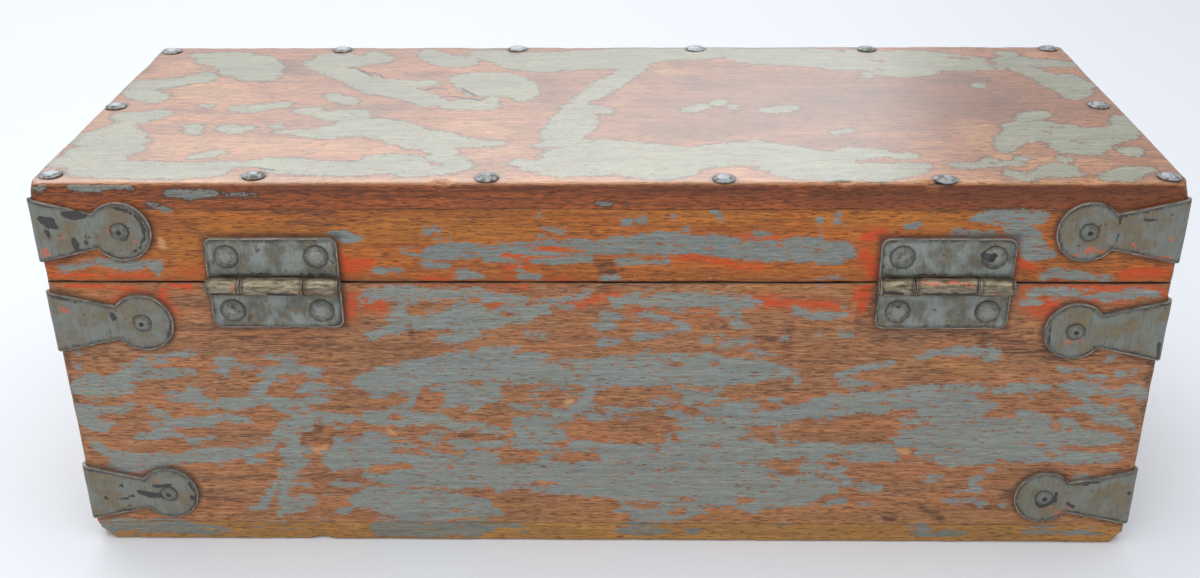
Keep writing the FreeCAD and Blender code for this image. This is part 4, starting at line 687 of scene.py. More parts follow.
def top_loop(a, b):
    return is_at(a.z, TOP_HEIGHT) and is_at(b.z, TOP_HEIGHT)


def foot_loop(a, b):
    return is_at(a.z, 0) and is_at(b.z, 0)


CORNER_ROUND = [(2.5, outer_upright)]
print("corners at", HALF_LENGTH, HALF_DEPTH, "mm")

# %% The ten boards
BOARD_CUTS = {  # node: name, cell, and the edges to round
    "base_board": ("bottom_board", 2.6, [(2.5, outer_upright), (1.2, foot_loop)]),
    "back_board": ("hinge_side_board", 1.25, CORNER_ROUND),
    "front_board": ("hasp_side_board", 2.2, CORNER_ROUND),
    "right_end_board": ("right_end_plank", 2.2, []),
    "left_end_board": ("left_end_plank", 2.2, []),
    "lid_top_board": ("lid_top_plank", 1.5, [(2.8, outer_upright), (1.7, top_loop)]),
    "lid_back_rail": ("lid_hinge_rail", 1.25, CORNER_ROUND),
    "lid_front_rail": ("lid_hasp_rail", 2.2, CORNER_ROUND),
    "lid_right_rail": ("lid_right_rail_wood", 2.2, []),
    "lid_left_rail": ("lid_left_rail_wood", 2.2, []),
}
boards = {node: plank(name, node, cell, rounds) for node, (name, cell, rounds) in BOARD_CUTS.items()}
for node, board in boards.items():
    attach(board, "lid" if node.startswith("lid") else "case")
    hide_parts(node)
print("boards:", len(boards), "corners:", sum(len(b.data.vertices) for b in boards.values()))

# %% [markdown]
# ## Handing the wear to the boards
# A board belongs to as many sides of the box as it has outer faces. Each corner of its mesh looks for the
# side that it lies on and faces, takes its place there, and stores how deep it lies in that side's
# strokes. Corners that lie on no side are inside the box, or in the seam, and stay bare.

# %% What each side of the box wears
HINGE, HASP, RIGHT, LEFT, TOP = "hinge", "hasp", "right", "left", "top"
HASP_PLATE = ((-13, 72), (13, 98))
hinge_wear = dict(paint=HINGE_SIDE_PAINT, bare=HINGE_SIDE_BARE, primer=HINGE_SIDE_PRIMER,
                  stain=HINGE_SIDE_STAIN, ochre=HINGE_SIDE_OCHRE, raw=HINGE_SIDE_RAW)
top_wear = dict(paint=TOP_PAINT, bare=TOP_BARE, primer=TOP_CRACKS,
                stain=TOP_STAIN, ochre=TOP_OCHRE, raw=TOP_RAW)
SIDE_WEAR = {
    HINGE: dict(hinge_wear, fittings=strap_marks["+y"], plates=leaf_corners),
    HASP: dict(front_wear, fittings=strap_marks["-y"], plates=[HASP_PLATE]),
    RIGHT: dict(right_wear, fittings=strap_marks["+x"], plates=[]),
    LEFT: dict(left_wear, fittings=strap_marks["-x"], plates=[]),
    TOP: dict(top_wear, fittings=[], plates=[]),
}
print("sides:", ", ".join(SIDE_WEAR))


# %% Read and write a mesh as arrays
GLUED_ABOVE = ["base_board", "lid_back_rail", "lid_front_rail", "lid_right_rail", "lid_left_rail"]
FAR = 40.0


def corner_array(mesh, what):
    values = np.empty(len(mesh.vertices) * 3, dtype=np.float32)
    mesh.vertices.foreach_get(what, values)
    return values.reshape(-1, 3).astype(float)


def store(mesh, name, values):
    """Keeps one number per corner under a name that materials can read."""
    layer = mesh.attributes.new(name, "FLOAT", "POINT")
    layer.data.foreach_set("value", np.ascontiguousarray(values, dtype=np.float32))


def edge_distance(points, low, high, glued_above):
    """How far each corner of a board is from its nearest edge; a face glued to a neighbour makes none."""
    beyond = np.array([0, 0, FAR])
    low, high = (low, high + beyond) if glued_above else (low - beyond, high)
    gaps = np.sort(np.minimum(np.abs(points - low), np.abs(high - points)), axis=1)
    return gaps[:, 1]


print("arrays ready")


# %% Find each nail of a group in the frame
OUTWARD = [(0, 1, HALF_LENGTH), (0, -1, HALF_LENGTH), (1, 1, HALF_DEPTH), (1, -1, HALF_DEPTH),
           (2, 1, TOP_HEIGHT), (2, -1, 0.0)]  # axis, direction along it, and where the wood ends


def nail_places(node):
    """For each loose part of a nail group: the middle of its outer end, and the way it faces."""
    mesh = bmesh.new()
    mesh.from_mesh(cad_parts[node].data)
    bmesh.ops.remove_doubles(mesh, verts=mesh.verts, dist=0.01 * MM)
    seen, places = set(), []
    for start in mesh.verts:
        if start in seen:
            continue
        seen.add(start)
        part, queue = [], [start]
        while queue:
            corner = queue.pop()
            part.append(corner.co / MM)
            for edge in corner.link_edges:
                other = edge.other_vert(corner)
                if other not in seen:
                    seen.add(other)
                    queue.append(other)
        low = np.min([tuple(p) for p in part], axis=0)
        high = np.max([tuple(p) for p in part], axis=0)
        past = [(high[axis] if sign > 0 else -low[axis]) - wood_end for axis, sign, wood_end in OUTWARD]
        axis, sign, _ = OUTWARD[past.index(max(past))]
        end = (low + high) / 2
        end[axis] = high[axis] if sign > 0 else low[axis]
        facing = np.zeros(3)
        facing[axis] = sign
        places.append((Vector(end), Vector(facing)))
    mesh.free()
    return places


TOP_STUD, HINGE_STUD, SMALL_STUD = 4.65, 4.55, 3.4  # radii of the heads
NAIL_RADII = {"lid_top_nails": TOP_STUD, "lid_hinge_nails": HINGE_STUD, "case_hinge_nails": HINGE_STUD,
              "lid_strap_nails": SMALL_STUD, "case_strap_nails": SMALL_STUD, "hasp_plate_nails": SMALL_STUD}
SEATS = [(end, facing, radius) for node, radius in NAIL_RADII.items() for end, facing in nail_places(node)]


def seat_distance(points):
    """How far each corner is from the rim of the nearest nail head, measured along the surface."""
    nearest = np.full(len(points), 9.0)
    for end, facing, radius in SEATS:
        offset = points - np.array(end)
        axial = offset @ np.array(facing)
        radial = np.linalg.norm(offset - axial[:, None] * np.array(facing), axis=1) - radius
        nearest = np.where(np.abs(axial) < 6, np.minimum(nearest, radial), nearest)
    return nearest


print("nail seats:", len(SEATS))


# %% Dress a board in the wear of its sides
STROKE_LAYERS = ["primer", "stain", "ochre", "raw"]


def dress(board, node):
    """Stores the wear of each side on the corners that lie on it; says how many of them are painted."""
    mesh = board.data
    points = corner_array(mesh, "co") / MM
    facing = corner_array(mesh, "normal")
    low, high = (np.array(corner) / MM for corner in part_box(node))
    x, y, z = points.T
    views = {
        HINGE: (y - HALF_DEPTH, facing[:, 1], np.column_stack([-x, z])),
        HASP: (-HALF_DEPTH - y, -facing[:, 1], np.column_stack([x, z])),
        RIGHT: (x - HALF_LENGTH, facing[:, 0], np.column_stack([y, z])),
        LEFT: (-HALF_LENGTH - x, -facing[:, 0], np.column_stack([y, z])),
        TOP: (z - TOP_HEIGHT, facing[:, 2], np.column_stack([-x, HALF_DEPTH - y])),
    }
    layers = {name: np.full(len(points), OUTSIDE) for name in ("paint", *STROKE_LAYERS, "fitting")}
    inside = np.ones(len(points))
    best = np.full(len(points), 0.3)
    for side, (gap, turned, places) in views.items():
        mine = np.nonzero((gap > -3.4) & (turned > best))[0]
        if not len(mine):
            continue
        best[mine] = turned[mine]
        inside[mine] = 0.0
        wear, places = SIDE_WEAR[side], places[mine]
        painted, bared = stroke_depth(places, wear["paint"]), stroke_depth(places, wear["bare"])
        layers["paint"][mine] = np.minimum(painted, -bared)
        for name in STROKE_LAYERS:
            layers[name][mine] = stroke_depth(places, wear[name])
        fitting = stroke_depth(places, wear["fittings"])
        for corners in wear["plates"]:
            fitting = np.maximum(fitting, rectangle_depth(places, *corners))
        layers["fitting"][mine] = np.maximum(fitting, OUTSIDE)
    # On the top, the wood under each stud's head and a narrow ring round it count as fitting, so the finish
    # darkens them with grime and painted shade
    if node == "lid_top_board":
        under_heads = np.maximum(OUTSIDE, -1.7 * seat_distance(points))
        layers["fitting"] = np.where(facing[:, 2] > 0.7, under_heads, OUTSIDE)
    for name, values in layers.items():
        store(mesh, name, values)
    store(mesh, "inside", inside)
    store(mesh, "edge", edge_distance(points, low, high, node in GLUED_ABOVE))
    return int((layers["paint"] > 0).sum())


for node, board in boards.items():
    print(board.name, "painted corners:", dress(board, node))

# %% [markdown]
# ## Knocks along the edges
# Years of handling leave no edge straight. Slow noise along each edge says how much wood is gone, and some
# places are listed: the feet, which took most bumps, and dents along the lid's hinge edge.


# %% Knock the edges in
LONG_WAVE, SHORT_WAVE = 23.0, 6.0
REACH, DEPTH = 2.6, 0.4  # how far in from an edge wood is lost, and how much
board_seed = {node: 3.7 * i + 1.3 for i, node in enumerate(boards)}


def knock(board, node, spots):
    """Takes wood off the edges of a board, and more at the spots, each a place, a radius and a depth."""
    mesh = board.data
    points = corner_array(mesh, "co") / MM
    low, high = (np.array(corner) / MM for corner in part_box(node))
    to_low, to_high = points - low, high - points
    gaps = np.minimum(to_low, to_high)
    inward = np.where(to_low < to_high, 1.0, -1.0)
    second = np.sort(gaps, axis=1)[:, 1]
    moved = np.zeros_like(points)
    for i in np.nonzero(second < REACH)[0]:
        place = Vector(points[i])
        long_wave = noise.noise(place / LONG_WAVE + Vector((board_seed[node], 0, 0)))
        short_wave = noise.noise(place / SHORT_WAVE + Vector((0, board_seed[node], 0)))
        lost = max(0.0, 0.25 + 0.8 * long_wave + 0.5 * short_wave) * DEPTH
        pull = np.clip(1 - gaps[i] / REACH, 0, 1) ** 2
        moved[i] = inward[i] * pull * lost
    for place, radius, deep in spots:
        away = np.linalg.norm(points - np.array(place), axis=1)
        share = np.clip(1 - (away / radius) ** 2, 0, 1) ** 2 * deep
        pull = np.clip(1 - gaps / (radius * 0.8), 0, 1)
        moved += inward * pull * share[:, None]
    mesh.vertices.foreach_set("co", ((points + moved) * MM).astype(np.float32).ravel())
    mesh.update()
    return float(np.abs(moved).max())


KNOCK_SPOTS = {
    "base_board": [((216, 86.5, 0), 8, 2.8), ((-216, 86.5, 0), 6, 2.2), ((216, -86.5, 0), 8, 2.6),
                   ((-216, -86.5, 0), 9, 3.0), ((-216, 40, 9), 5, 1.2), ((120, 86.5, 0), 6, 0.9)],
    "lid_top_board": [((-216, 86.5, 162.6), 7, 1.6), ((-88, 86.5, 162.6), 4, 1.0),
                      ((-121, 86.5, 162.6), 5, 1.2), ((216, 86.5, 162.6), 6, 1.0),
                      ((60, 86.5, 162.6), 6, 0.8), ((-180, 86.5, 162.6), 7, 0.8)],
}
for node, board in boards.items():
    deepest = knock(board, node, KNOCK_SPOTS.get(node, ()))
    print(board.name, "deepest knock", round(deepest, 2), "mm")

# %% [markdown]
# ## Building finishes
# A finish is a tree of nodes. A small helper puts nodes on a tree and links them, so that each finish reads
# as a list of steps from the wood outwards. Patterns read the object's own coordinates in millimetres, with
# the grain along the first axis.


# %% A helper that wires nodes
class Wiring:
    def __init__(self, tree):
        self.tree = tree

    def add(self, kind, **settings):
        node = self.tree.nodes.new(kind)
        for name, value in settings.items():
            setattr(node, name, value)
        return node

    def feed(self, socket, value):
        if isinstance(value, bpy.types.NodeSocket):
            self.tree.links.new(value, socket)
        else:
            socket.default_value = value

    def math(self, operation, first, second=0.0, limit=False):
        node = self.add("ShaderNodeMath", operation=operation, use_clamp=limit)
        self.feed(node.inputs[0], first)
        self.feed(node.inputs[1], second)
        return node.outputs[0]

    def plus(self, first, second):
        return self.math("ADD", first, second)

    def less(self, first, second):
        return self.math("SUBTRACT", first, second)

    def times(self, first, second):
        return self.math("MULTIPLY", first, second)

    def most(self, first, second):
        return self.math("MAXIMUM", first, second)

    def rest(self, value):
        return self.math("SUBTRACT", 1.0, value)

    def swing(self, value, reach):
        """A value from 0 to 1 made to swing round zero."""
        return self.times(self.less(value, 0.5), reach)

    def between(self, value, start, stop):
        """0 below start and 1 above stop, with a smooth step from one to the other."""
        node = self.add("ShaderNodeMapRange", interpolation_type="SMOOTHSTEP")
        for socket, given in zip(node.inputs, (value, start, stop, 0.0, 1.0)):
            self.feed(socket, given)
        return node.outputs[0]

    def mix(self, amount, first, second):
        node = self.add("ShaderNodeMix", data_type="RGBA")
        self.feed(node.inputs[0], amount)
        self.feed(node.inputs[6], linear(first) if isinstance(first, str) else first)
        self.feed(node.inputs[7], linear(second) if isinstance(second, str) else second)
        return node.outputs[2]

    def noise(self, place, size, detail=2.0, rough=0.5, shift=(0.0, 0.0, 0.0)):
        """Smooth noise from 0 to 1 whose blots are size millimetres along each axis."""
        node = self.add("ShaderNodeMapping")
        self.feed(node.inputs["Vector"], place)
        node.inputs["Location"].default_value = shift
        node.inputs["Scale"].default_value = tuple(1 / s for s in size)
        blots = self.add("ShaderNodeTexNoise")
        self.feed(blots.inputs["Vector"], node.outputs[0])
        blots.inputs["Scale"].default_value = 1.0
        blots.inputs["Detail"].default_value = detail
        blots.inputs["Roughness"].default_value = rough
        return blots.outputs["Fac"]

    def kept(self, name):
        """The number that a mesh keeps under this name."""
        return self.add("ShaderNodeAttribute", attribute_name=name).outputs["Fac"]

    def millimetres(self, quarter_turn=False):
        """The object's own coordinates in millimetres, turned so that the grain runs along the first axis."""
        node = self.add("ShaderNodeMapping")
        self.feed(node.inputs["Vector"], self.add("ShaderNodeTexCoord").outputs["Object"])
        node.inputs["Rotation"].default_value = (0, 0, math.pi / 2 if quarter_turn else 0.0)
        node.inputs["Scale"].default_value = (1000.0, 1000.0, 1000.0)
        return node.outputs[0]


def new_group(name, takes, gives):
    """An empty shader node group with named sockets, its wiring, and its two ends."""
    group = bpy.data.node_groups.new(name, "ShaderNodeTree")
    for socket, kind in takes.items():
        group.interface.new_socket(socket, in_out="INPUT", socket_type=kind)
    for socket in gives:
        group.interface.new_socket(socket, in_out="OUTPUT", socket_type="NodeSocketFloat")
    wires = Wiring(group)
    return group, wires, wires.add("NodeGroupInput").outputs, wires.add("NodeGroupOutput").inputs


def new_finish(name):
    """An empty finish: its material, the wiring of its nodes, and its shader."""
    material = bpy.data.materials.new(name)
    material.use_nodes = True
    return material, Wiring(material.node_tree), material.node_tree.nodes["Principled BSDF"]


def add_relief(wires, shader, height, distance, strength):
    """Lets the shader see the height as relief; a height of 1 stands distance metres proud."""
    bump = wires.add("ShaderNodeBump")
    bump.inputs["Distance"].default_value = distance
    bump.inputs["Strength"].default_value = strength
    wires.feed(bump.inputs["Height"], height)
    wires.feed(shader.inputs["Normal"], bump.outputs[0])


def place_group(wires, group, **values):
    node = wires.add("ShaderNodeGroup", node_tree=group)
    for name, value in values.items():
        wires.feed(node.inputs[name], value)
    return node.outputs


VECTOR, NUMBER = "NodeSocketVector", "NodeSocketFloat"
print("wiring ready")

# %% [markdown]
# ## Grain, flakes, and grime with painted shade, as groups
# Three effects are shared by all the boards. The grain is noise drawn out along the board: slow bands,
# hair-fine fibres and short dark pores. The flakes roughen the outline of the stored strokes and add pits
# and fine splits. The third puts grime beside the fittings and painted shade under them and in the seam
# between lid and case, and rubs the edges.

# %% Group: wood grain
wood_grain, w, grain_in, grain_out = new_group(
    "wood_grain", {"Place": VECTOR}, ["Band", "Streak", "Fibre", "Pore", "Height"])
band = w.noise(grain_in["Place"], (75, 7, 4.2), 3, 0.55)
streak = w.noise(grain_in["Place"], (34, 1.3, 0.95), 4, 0.66, (3, 5, 7))
fibre = w.noise(grain_in["Place"], (6.5, 0.6, 0.48), 3, 0.7, (1, 2, 9))
speck = w.noise(grain_in["Place"], (3.6, 0.56, 0.46), 2, 0.5, (8, 1, 4))
pore = w.between(w.plus(speck, w.times(streak, 0.3)), 0.7, 0.8)
w.feed(grain_out["Band"], w.between(w.plus(w.times(band, 0.6), w.times(streak, 0.4)), 0.33, 0.67))
w.feed(grain_out["Streak"], w.between(streak, 0.34, 0.66))
w.feed(grain_out["Fibre"], w.between(fibre, 0.34, 0.66))
w.feed(grain_out["Pore"], pore)
w.feed(grain_out["Height"], w.less(w.times(fibre, 0.6), w.times(pore, 0.7)))
print("group", wood_grain.name)

# %% Group: flaked paint
flaked_paint, w, flake_in, flake_out = new_group(
    "flaked_paint", {"Place": VECTOR, "Depth": NUMBER, "Length": NUMBER, "Ragged": NUMBER},
    ["Paint", "Rim", "Height"])
stretch = w.add("ShaderNodeCombineXYZ")
w.feed(stretch.inputs[0], w.math("DIVIDE", 1.0, flake_in["Length"]))
stretch.inputs[1].default_value = 1.0
stretch.inputs[2].default_value = 1.0
drawn_out = w.add("ShaderNodeVectorMath", operation="MULTIPLY")
w.feed(drawn_out.inputs[0], flake_in["Place"])
w.feed(drawn_out.inputs[1], stretch.outputs[0])
chips = w.noise(drawn_out.outputs[0], (1.9, 1.9, 1.9), 3, 0.6)
crumbs = w.noise(drawn_out.outputs[0], (0.55, 0.55, 0.55), 2, 0.6, (4, 4, 4))
lobes = w.noise(drawn_out.outputs[0], (4.2, 2.3, 2.3), 2, 0.5, (5, 1, 6))
ragged = w.plus(w.swing(chips, 4.8), w.plus(w.swing(crumbs, 4.2), w.swing(lobes, 4.0)))
outline = w.plus(w.plus(flake_in["Depth"], 0.3), w.times(ragged, flake_in["Ragged"]))
pit = w.between(w.noise(drawn_out.outputs[0], (1.1, 0.7, 0.7), 1, 0.5, (2, 9, 5)), 0.66, 0.69)
split = w.between(w.noise(flake_in["Place"], (9, 0.6, 0.5), 2, 0.55, (6, 2, 1)), 0.65, 0.69)
holes = w.most(pit, split)
coat = w.times(w.between(outline, -0.12, 0.12), w.rest(holes))
w.feed(flake_out["Paint"], coat)
w.feed(flake_out["Rim"], w.times(w.between(outline, -1.5, -0.1), w.rest(w.between(outline, 0.0, 0.5))))
w.feed(flake_out["Height"], w.times(coat, w.between(outline, -0.1, 0.5)))
print("group", flaked_paint.name)

# %% Group: grime, painted shade and rubbing
grime_shade_and_rub, w, grime_shade_in, grime_shade_out = new_group(
    "grime_shade_and_rub", {"Place": VECTOR, "Fitting": NUMBER, "Edge": NUMBER}, ["Grime", "Rub", "Cloud", "SeamShade"])
cloud = w.noise(grime_shade_in["Place"], (26, 12, 12), 3, 0.6)
fine = w.noise(grime_shade_in["Place"], (3.0, 1.6, 1.6), 2, 0.6, (5, 5, 5))
both = w.plus(w.times(cloud, 0.55), w.times(fine, 0.45))
# Grime in a ring beside each fitting
beside = w.between(w.plus(grime_shade_in["Fitting"], w.swing(both, 3.2)), -3.0, -0.1)
seam = w.rest(w.between(w.plus(grime_shade_in["Edge"], w.swing(both, 2.6)), 0.1, 1.1))
# Painted shade: wood under a fitting or under a stud's head is darkened strongly
under = w.times(w.between(grime_shade_in["Fitting"], 0.3, 0.9), 1.5)
beside = w.most(w.times(beside, 0.8), under)
# Grime beside the fittings, painted shade under them, and a little grime along the edges
w.feed(grime_shade_out["Grime"], w.most(beside, w.times(seam, 0.4)))
w.feed(grime_shade_out["Rub"], w.rest(w.between(w.plus(grime_shade_in["Edge"], w.swing(fine, 3.0)), 0.0, 1.1)))
w.feed(grime_shade_out["Cloud"], w.between(cloud, 0.32, 0.68))
# Painted shade in the seam between lid and case: within half a millimetre of the seam's height, wood near the
# boards' edges is darkened.
level = w.add("ShaderNodeSeparateXYZ")
w.feed(level.inputs[0], grime_shade_in["Place"])
from_seam = w.math("ABSOLUTE", w.less(level.outputs["Z"], SEAM_HEIGHT))
outermost = w.between(w.plus(grime_shade_in["Edge"], fine), 3.2, 0.8)
w.feed(grime_shade_out["SeamShade"], w.times(w.between(from_seam, 0.6, 0.3), outermost))
print("group", grime_shade_and_rub.name)

# %% [markdown]
# ## Painted wood
# From the wood outwards: brown wood in bands, yellower where it is new or damp, dark stains, pale splits,
# then what is left of the orange-red primer, then the blue-grey paint with its own fibres and a rim where
# it lifts, and grime over everything, with painted shade under the fittings, round the top's studs and in
# the seam between lid and case. The lid's top is varnished as well, so it mirrors the bright room: that is
# its clear coat, masked to the surface that looks up.


# %% The colours of wood and paint
WOOD_BROWN, WOOD_PORE = "#683B24", "#38221A"
WOOD_STAIN, WOOD_RAW, WOOD_NEW = "#46322A", "#CB965E", "#D8AC80"
WOOD_SIDE, WOOD_SHADE, TOP_PAINTED_SHADE = "#A8501C", "#40200F", "#6A4C3C"
INNER_DARK, INNER_LIGHT = "#8E6B48", "#BE9A6C"
PRIMER_RED, PRIMER_STAIN, SEAM_PAINTED_SHADE, GRIME_AND_SHADE = "#D4481F", "#B8501C", "#2A1C15", "#453530"
PAINT_PALE, PAINT_DARK, SIDE_PAINT = "#AAAFA6", "#5A615E", "#727770"
# Dark, main and light wood, the brown veil over it, yellowed wood, main and clouded paint, the paint's rim
CASE_TONES = "#70472C", "#B97040", "#DBA87A", "#80604A", "#B07636", "#868C88", "#898C81", "#BC6A3A"
LID_TONES = "#7A3E1C", "#C4661F", "#DA9048", "#8A4C24", "#BC7628", "#7B817F", "#7E8178", "#BC6A3A"
TOP_TONES = "#80492A", "#C07446", "#E2A66E", "#6E5044", "#D59A5E", "#9E9E7C", "#8E8F74", "#543626"
BASE_TONES = "#6E4A2E", "#A8703C", "#CE9E5C", "#70593E", "#C08A3E", "#76736A", "#716E5C", "#A86C3C"
print("tones: 4 sets of", len(CASE_TONES))


# %% The finish of a painted board
THICKEST = 1.7  # depth is cut off here, so that flakes are lost even in the middle of a wide stroke
TOP_SHADE_PLACE, TOP_SHADE_REACH = (-100, -6, 162), (125, 52, 1000)  # where a painted shade darkens a wide patch of the top, and how far it reaches


def painted_wood(name, tones, across=False, flake_length=3.0, ragged=1.0, varnished=False):
    """Wood, primer, paint and grime; across turns the grain, and varnished is for the lid's top, where the
    sides are half as ragged as the surface that looks up."""
    material, w, shader = new_finish(name)
    place = w.millimetres(across)
    upward = w.add("ShaderNodeSeparateXYZ")
    w.feed(upward.inputs[0], w.add("ShaderNodeNewGeometry").outputs["True Normal"])
    grain = place_group(w, wood_grain, Place=place)
    dirt_and_shade = place_group(w, grime_shade_and_rub, Place=place, Fitting=w.kept("fitting"), Edge=w.kept("edge"))
    depth = w.less(w.kept("paint"), w.times(dirt_and_shade["Rub"], 1.6))
    if varnished:
        looks_up = w.between(upward.outputs["Z"], 0.6, 0.9)
        ragged = w.plus(w.times(looks_up, ragged / 2), ragged / 2)
        depth = w.plus(depth, w.times(looks_up, 1.4))
    else:
        depth = w.math("MINIMUM", w.plus(depth, 0.14), THICKEST)
    flakes = place_group(w, flaked_paint, Place=place, Depth=depth, Length=flake_length, Ragged=ragged)
    soft = w.swing(w.noise(place, (5, 1.3, 1.0), 3, 0.6, (7, 7, 7)), 5.0)

    # Bare wood: bands, yellowing, a veil, fibres, streaks, pores, stains and raw spots
    dark, main, light, veil, ochre, paint_main, paint_cloud, rim = tones
    wood = w.mix(grain["Band"], dark, main)
    wood = w.mix(w.times(w.between(w.plus(w.kept("ochre"), soft), -2.5, 2.5), 0.62), wood, ochre)
    wood = w.mix(w.times(dirt_and_shade["Cloud"], 0.4), wood, veil)
    wood = w.mix(w.times(grain["Fibre"], 0.5), wood, light)
    wood = w.mix(w.times(w.rest(grain["Streak"]), 0.42 if varnished else 0.4), wood, WOOD_BROWN)
    wood = w.mix(w.times(grain["Pore"], 0.6), wood, WOOD_PORE)
    dark_fibres = w.between(w.plus(grain["Fibre"], grain["Streak"]), 1.5, 0.5)
    if varnished:
        stained = w.times(w.between(w.plus(w.kept("stain"), soft), -4.0, 5.0), 0.45)
    else:
        stained = w.between(w.plus(w.kept("stain"), w.times(soft, 1.2)), -1.2, 1.0)
        stained = w.times(stained, w.plus(w.times(dark_fibres, 0.5), 0.3))
    wood = w.mix(stained, wood, WOOD_STAIN)
    raw = w.between(w.plus(w.kept("raw"), w.times(soft, 0.8)), -0.3, 0.9)
    newest = w.between(w.plus(w.kept("raw"), w.times(soft, 0.3)), 0.6, 1.3)
    wood = w.mix(w.times(raw, 0.46), wood, WOOD_RAW)
    wood = w.mix(w.times(newest, 0.36), wood, WOOD_NEW)
    inner = w.mix(grain["Band"], INNER_DARK, INNER_LIGHT)
    wood = w.mix(w.kept("inside"), wood, w.mix(w.times(grain["Pore"], 0.5), inner, WOOD_PORE))

    # What lies on the wood: varnish with a painted shade over a wide patch of the top, primer elsewhere
    if varnished:
        middle = w.add("ShaderNodeMapping")
        w.feed(middle.inputs["Vector"], place)
        middle.inputs["Scale"].default_value = tuple(1 / reach for reach in TOP_SHADE_REACH)
        moved = tuple(-at / reach for at, reach in zip(TOP_SHADE_PLACE, TOP_SHADE_REACH))
        middle.inputs["Location"].default_value = moved
        away = w.add("ShaderNodeVectorMath", operation="LENGTH")
        w.feed(away.inputs[0], middle.outputs[0])
        # Painted shade: a wide patch of the top, off towards one end, is made darker
        top_shade = w.between(w.plus(away.outputs["Value"], w.times(dirt_and_shade["Cloud"], 0.5)), 1.5, 0.5)
        wood = w.mix(w.times(top_shade, 0.62), wood, TOP_PAINTED_SHADE)
        side = w.between(upward.outputs["Z"], 0.8, 0.2)
        coat = w.mix(w.times(side, 0.72), wood, WOOD_SIDE)
        lines = w.times(w.plus(grain["Streak"], grain["Fibre"]), 4.0)
        high_up = w.between(w.plus(w.kept("edge"), lines), 13.0, 3.0)
        coat = w.mix(w.times(w.times(side, high_up), 0.6), coat, WOOD_SHADE)
        coat = w.mix(w.times(side, w.most(stained, w.times(dark_fibres, 0.45))), coat, WOOD_STAIN)
        coat = w.mix(w.times(side, w.times(grain["Pore"], 0.6)), coat, WOOD_PORE)
    else:
        blush = w.between(w.plus(w.kept("primer"), soft), -4.5, 1.5)
        wood = w.mix(w.times(blush, 0.42), wood, PRIMER_STAIN)
        red = w.between(w.plus(w.kept("primer"), w.times(soft, 1.3)), -0.2, 0.5)
        red = w.times(red, w.rest(w.times(dark_fibres, 0.8)))
        coat = w.mix(w.times(red, 0.84), wood, PRIMER_RED)

    # The paint, then grime and painted shade over everything
    coat = w.mix(w.times(flakes["Rim"], 0.85 if varnished else 0.34), coat, rim)
    paint = w.mix(dirt_and_shade["Cloud"], paint_main, paint_cloud)
    if varnished:
        paint = w.mix(side, paint, SIDE_PAINT)
    paint = w.mix(w.times(grain["Fibre"], 0.4), paint, PAINT_PALE)
    paint = w.mix(w.times(w.rest(grain["Streak"]), 0.38), paint, PAINT_DARK)
    paint = w.mix(w.times(grain["Pore"], 0.16), paint, WOOD_STAIN)
    shown = w.times(flakes["Paint"], w.rest(w.kept("inside")))
    surface = w.mix(shown, coat, paint)
    if varnished:
        crack = w.between(w.plus(w.kept("primer"), w.times(soft, 0.3)), -0.2, 0.3)
        surface = w.mix(w.times(crack, looks_up), surface, WOOD_PORE)
    # Grime, and painted shade under the fittings and round the top's studs
    surface = w.mix(w.times(dirt_and_shade["Grime"], 0.7), surface, GRIME_AND_SHADE)
    # Painted shade in the seam between lid and case
    surface = w.mix(w.times(dirt_and_shade["SeamShade"], 0.92), surface, SEAM_PAINTED_SHADE)
    w.feed(shader.inputs["Base Color"], surface)

    # How it shines and stands out
    rough = w.plus(0.36 if varnished else 0.44, w.times(grain["Fibre"], 0.12))
    w.feed(shader.inputs["Roughness"], w.plus(rough, w.times(dirt_and_shade["Grime"], 0.2)))
    shader.inputs["Specular IOR Level"].default_value = 0.3
    height = w.plus(w.times(flakes["Height"], 0.55), w.times(grain["Height"], 0.5))
    add_relief(w, shader, height, 0.0003, 0.75)
    if varnished:
        w.feed(shader.inputs["Coat Weight"], w.between(upward.outputs["Z"], 0.75, 0.97))
        shader.inputs["Coat Roughness"].default_value = 0.26
        shader.inputs["Coat IOR"].default_value = 1.5
    return material


case_long_wood = painted_wood("painted_case_long", CASE_TONES, ragged=1.4)
case_end_wood = painted_wood("painted_case_ends", CASE_TONES, across=True)
lid_long_wood = painted_wood("painted_lid_long", LID_TONES)
lid_end_wood = painted_wood("painted_lid_ends", LID_TONES, across=True)
base_wood = painted_wood("painted_base", BASE_TONES, flake_length=5.0)
top_wood = painted_wood("painted_lid_top", TOP_TONES, flake_length=1.4, ragged=1.2, varnished=True)
LID_WOODS, CASE_WOODS = (lid_long_wood, lid_end_wood), (case_long_wood, case_end_wood)
for node, board in boards.items():
    long_wood, end_wood = LID_WOODS if node.startswith("lid") else CASE_WOODS
    upright = end_wood if "right" in node or "left" in node else long_wood
    board.data.materials.append({"lid_top_board": top_wood, "base_board": base_wood}.get(node, upright))
print("finished boards:", len(boards))

# %% [markdown]
# ## Ironwork
# Straps, hinge leaves and the hasp were cut from sheet, bent, and painted with the box. Their shapes come
# from the frame, which already holds the right outlines. Each is copied, cleaned of loose triangles, given
# a soft filed edge, and cut into small cells, so that chips and red primer can be stored on its corners as
# on the boards. Every corner also stores how far it is from the nearest cut edge, because a sheet edge is
# where paint goes first.

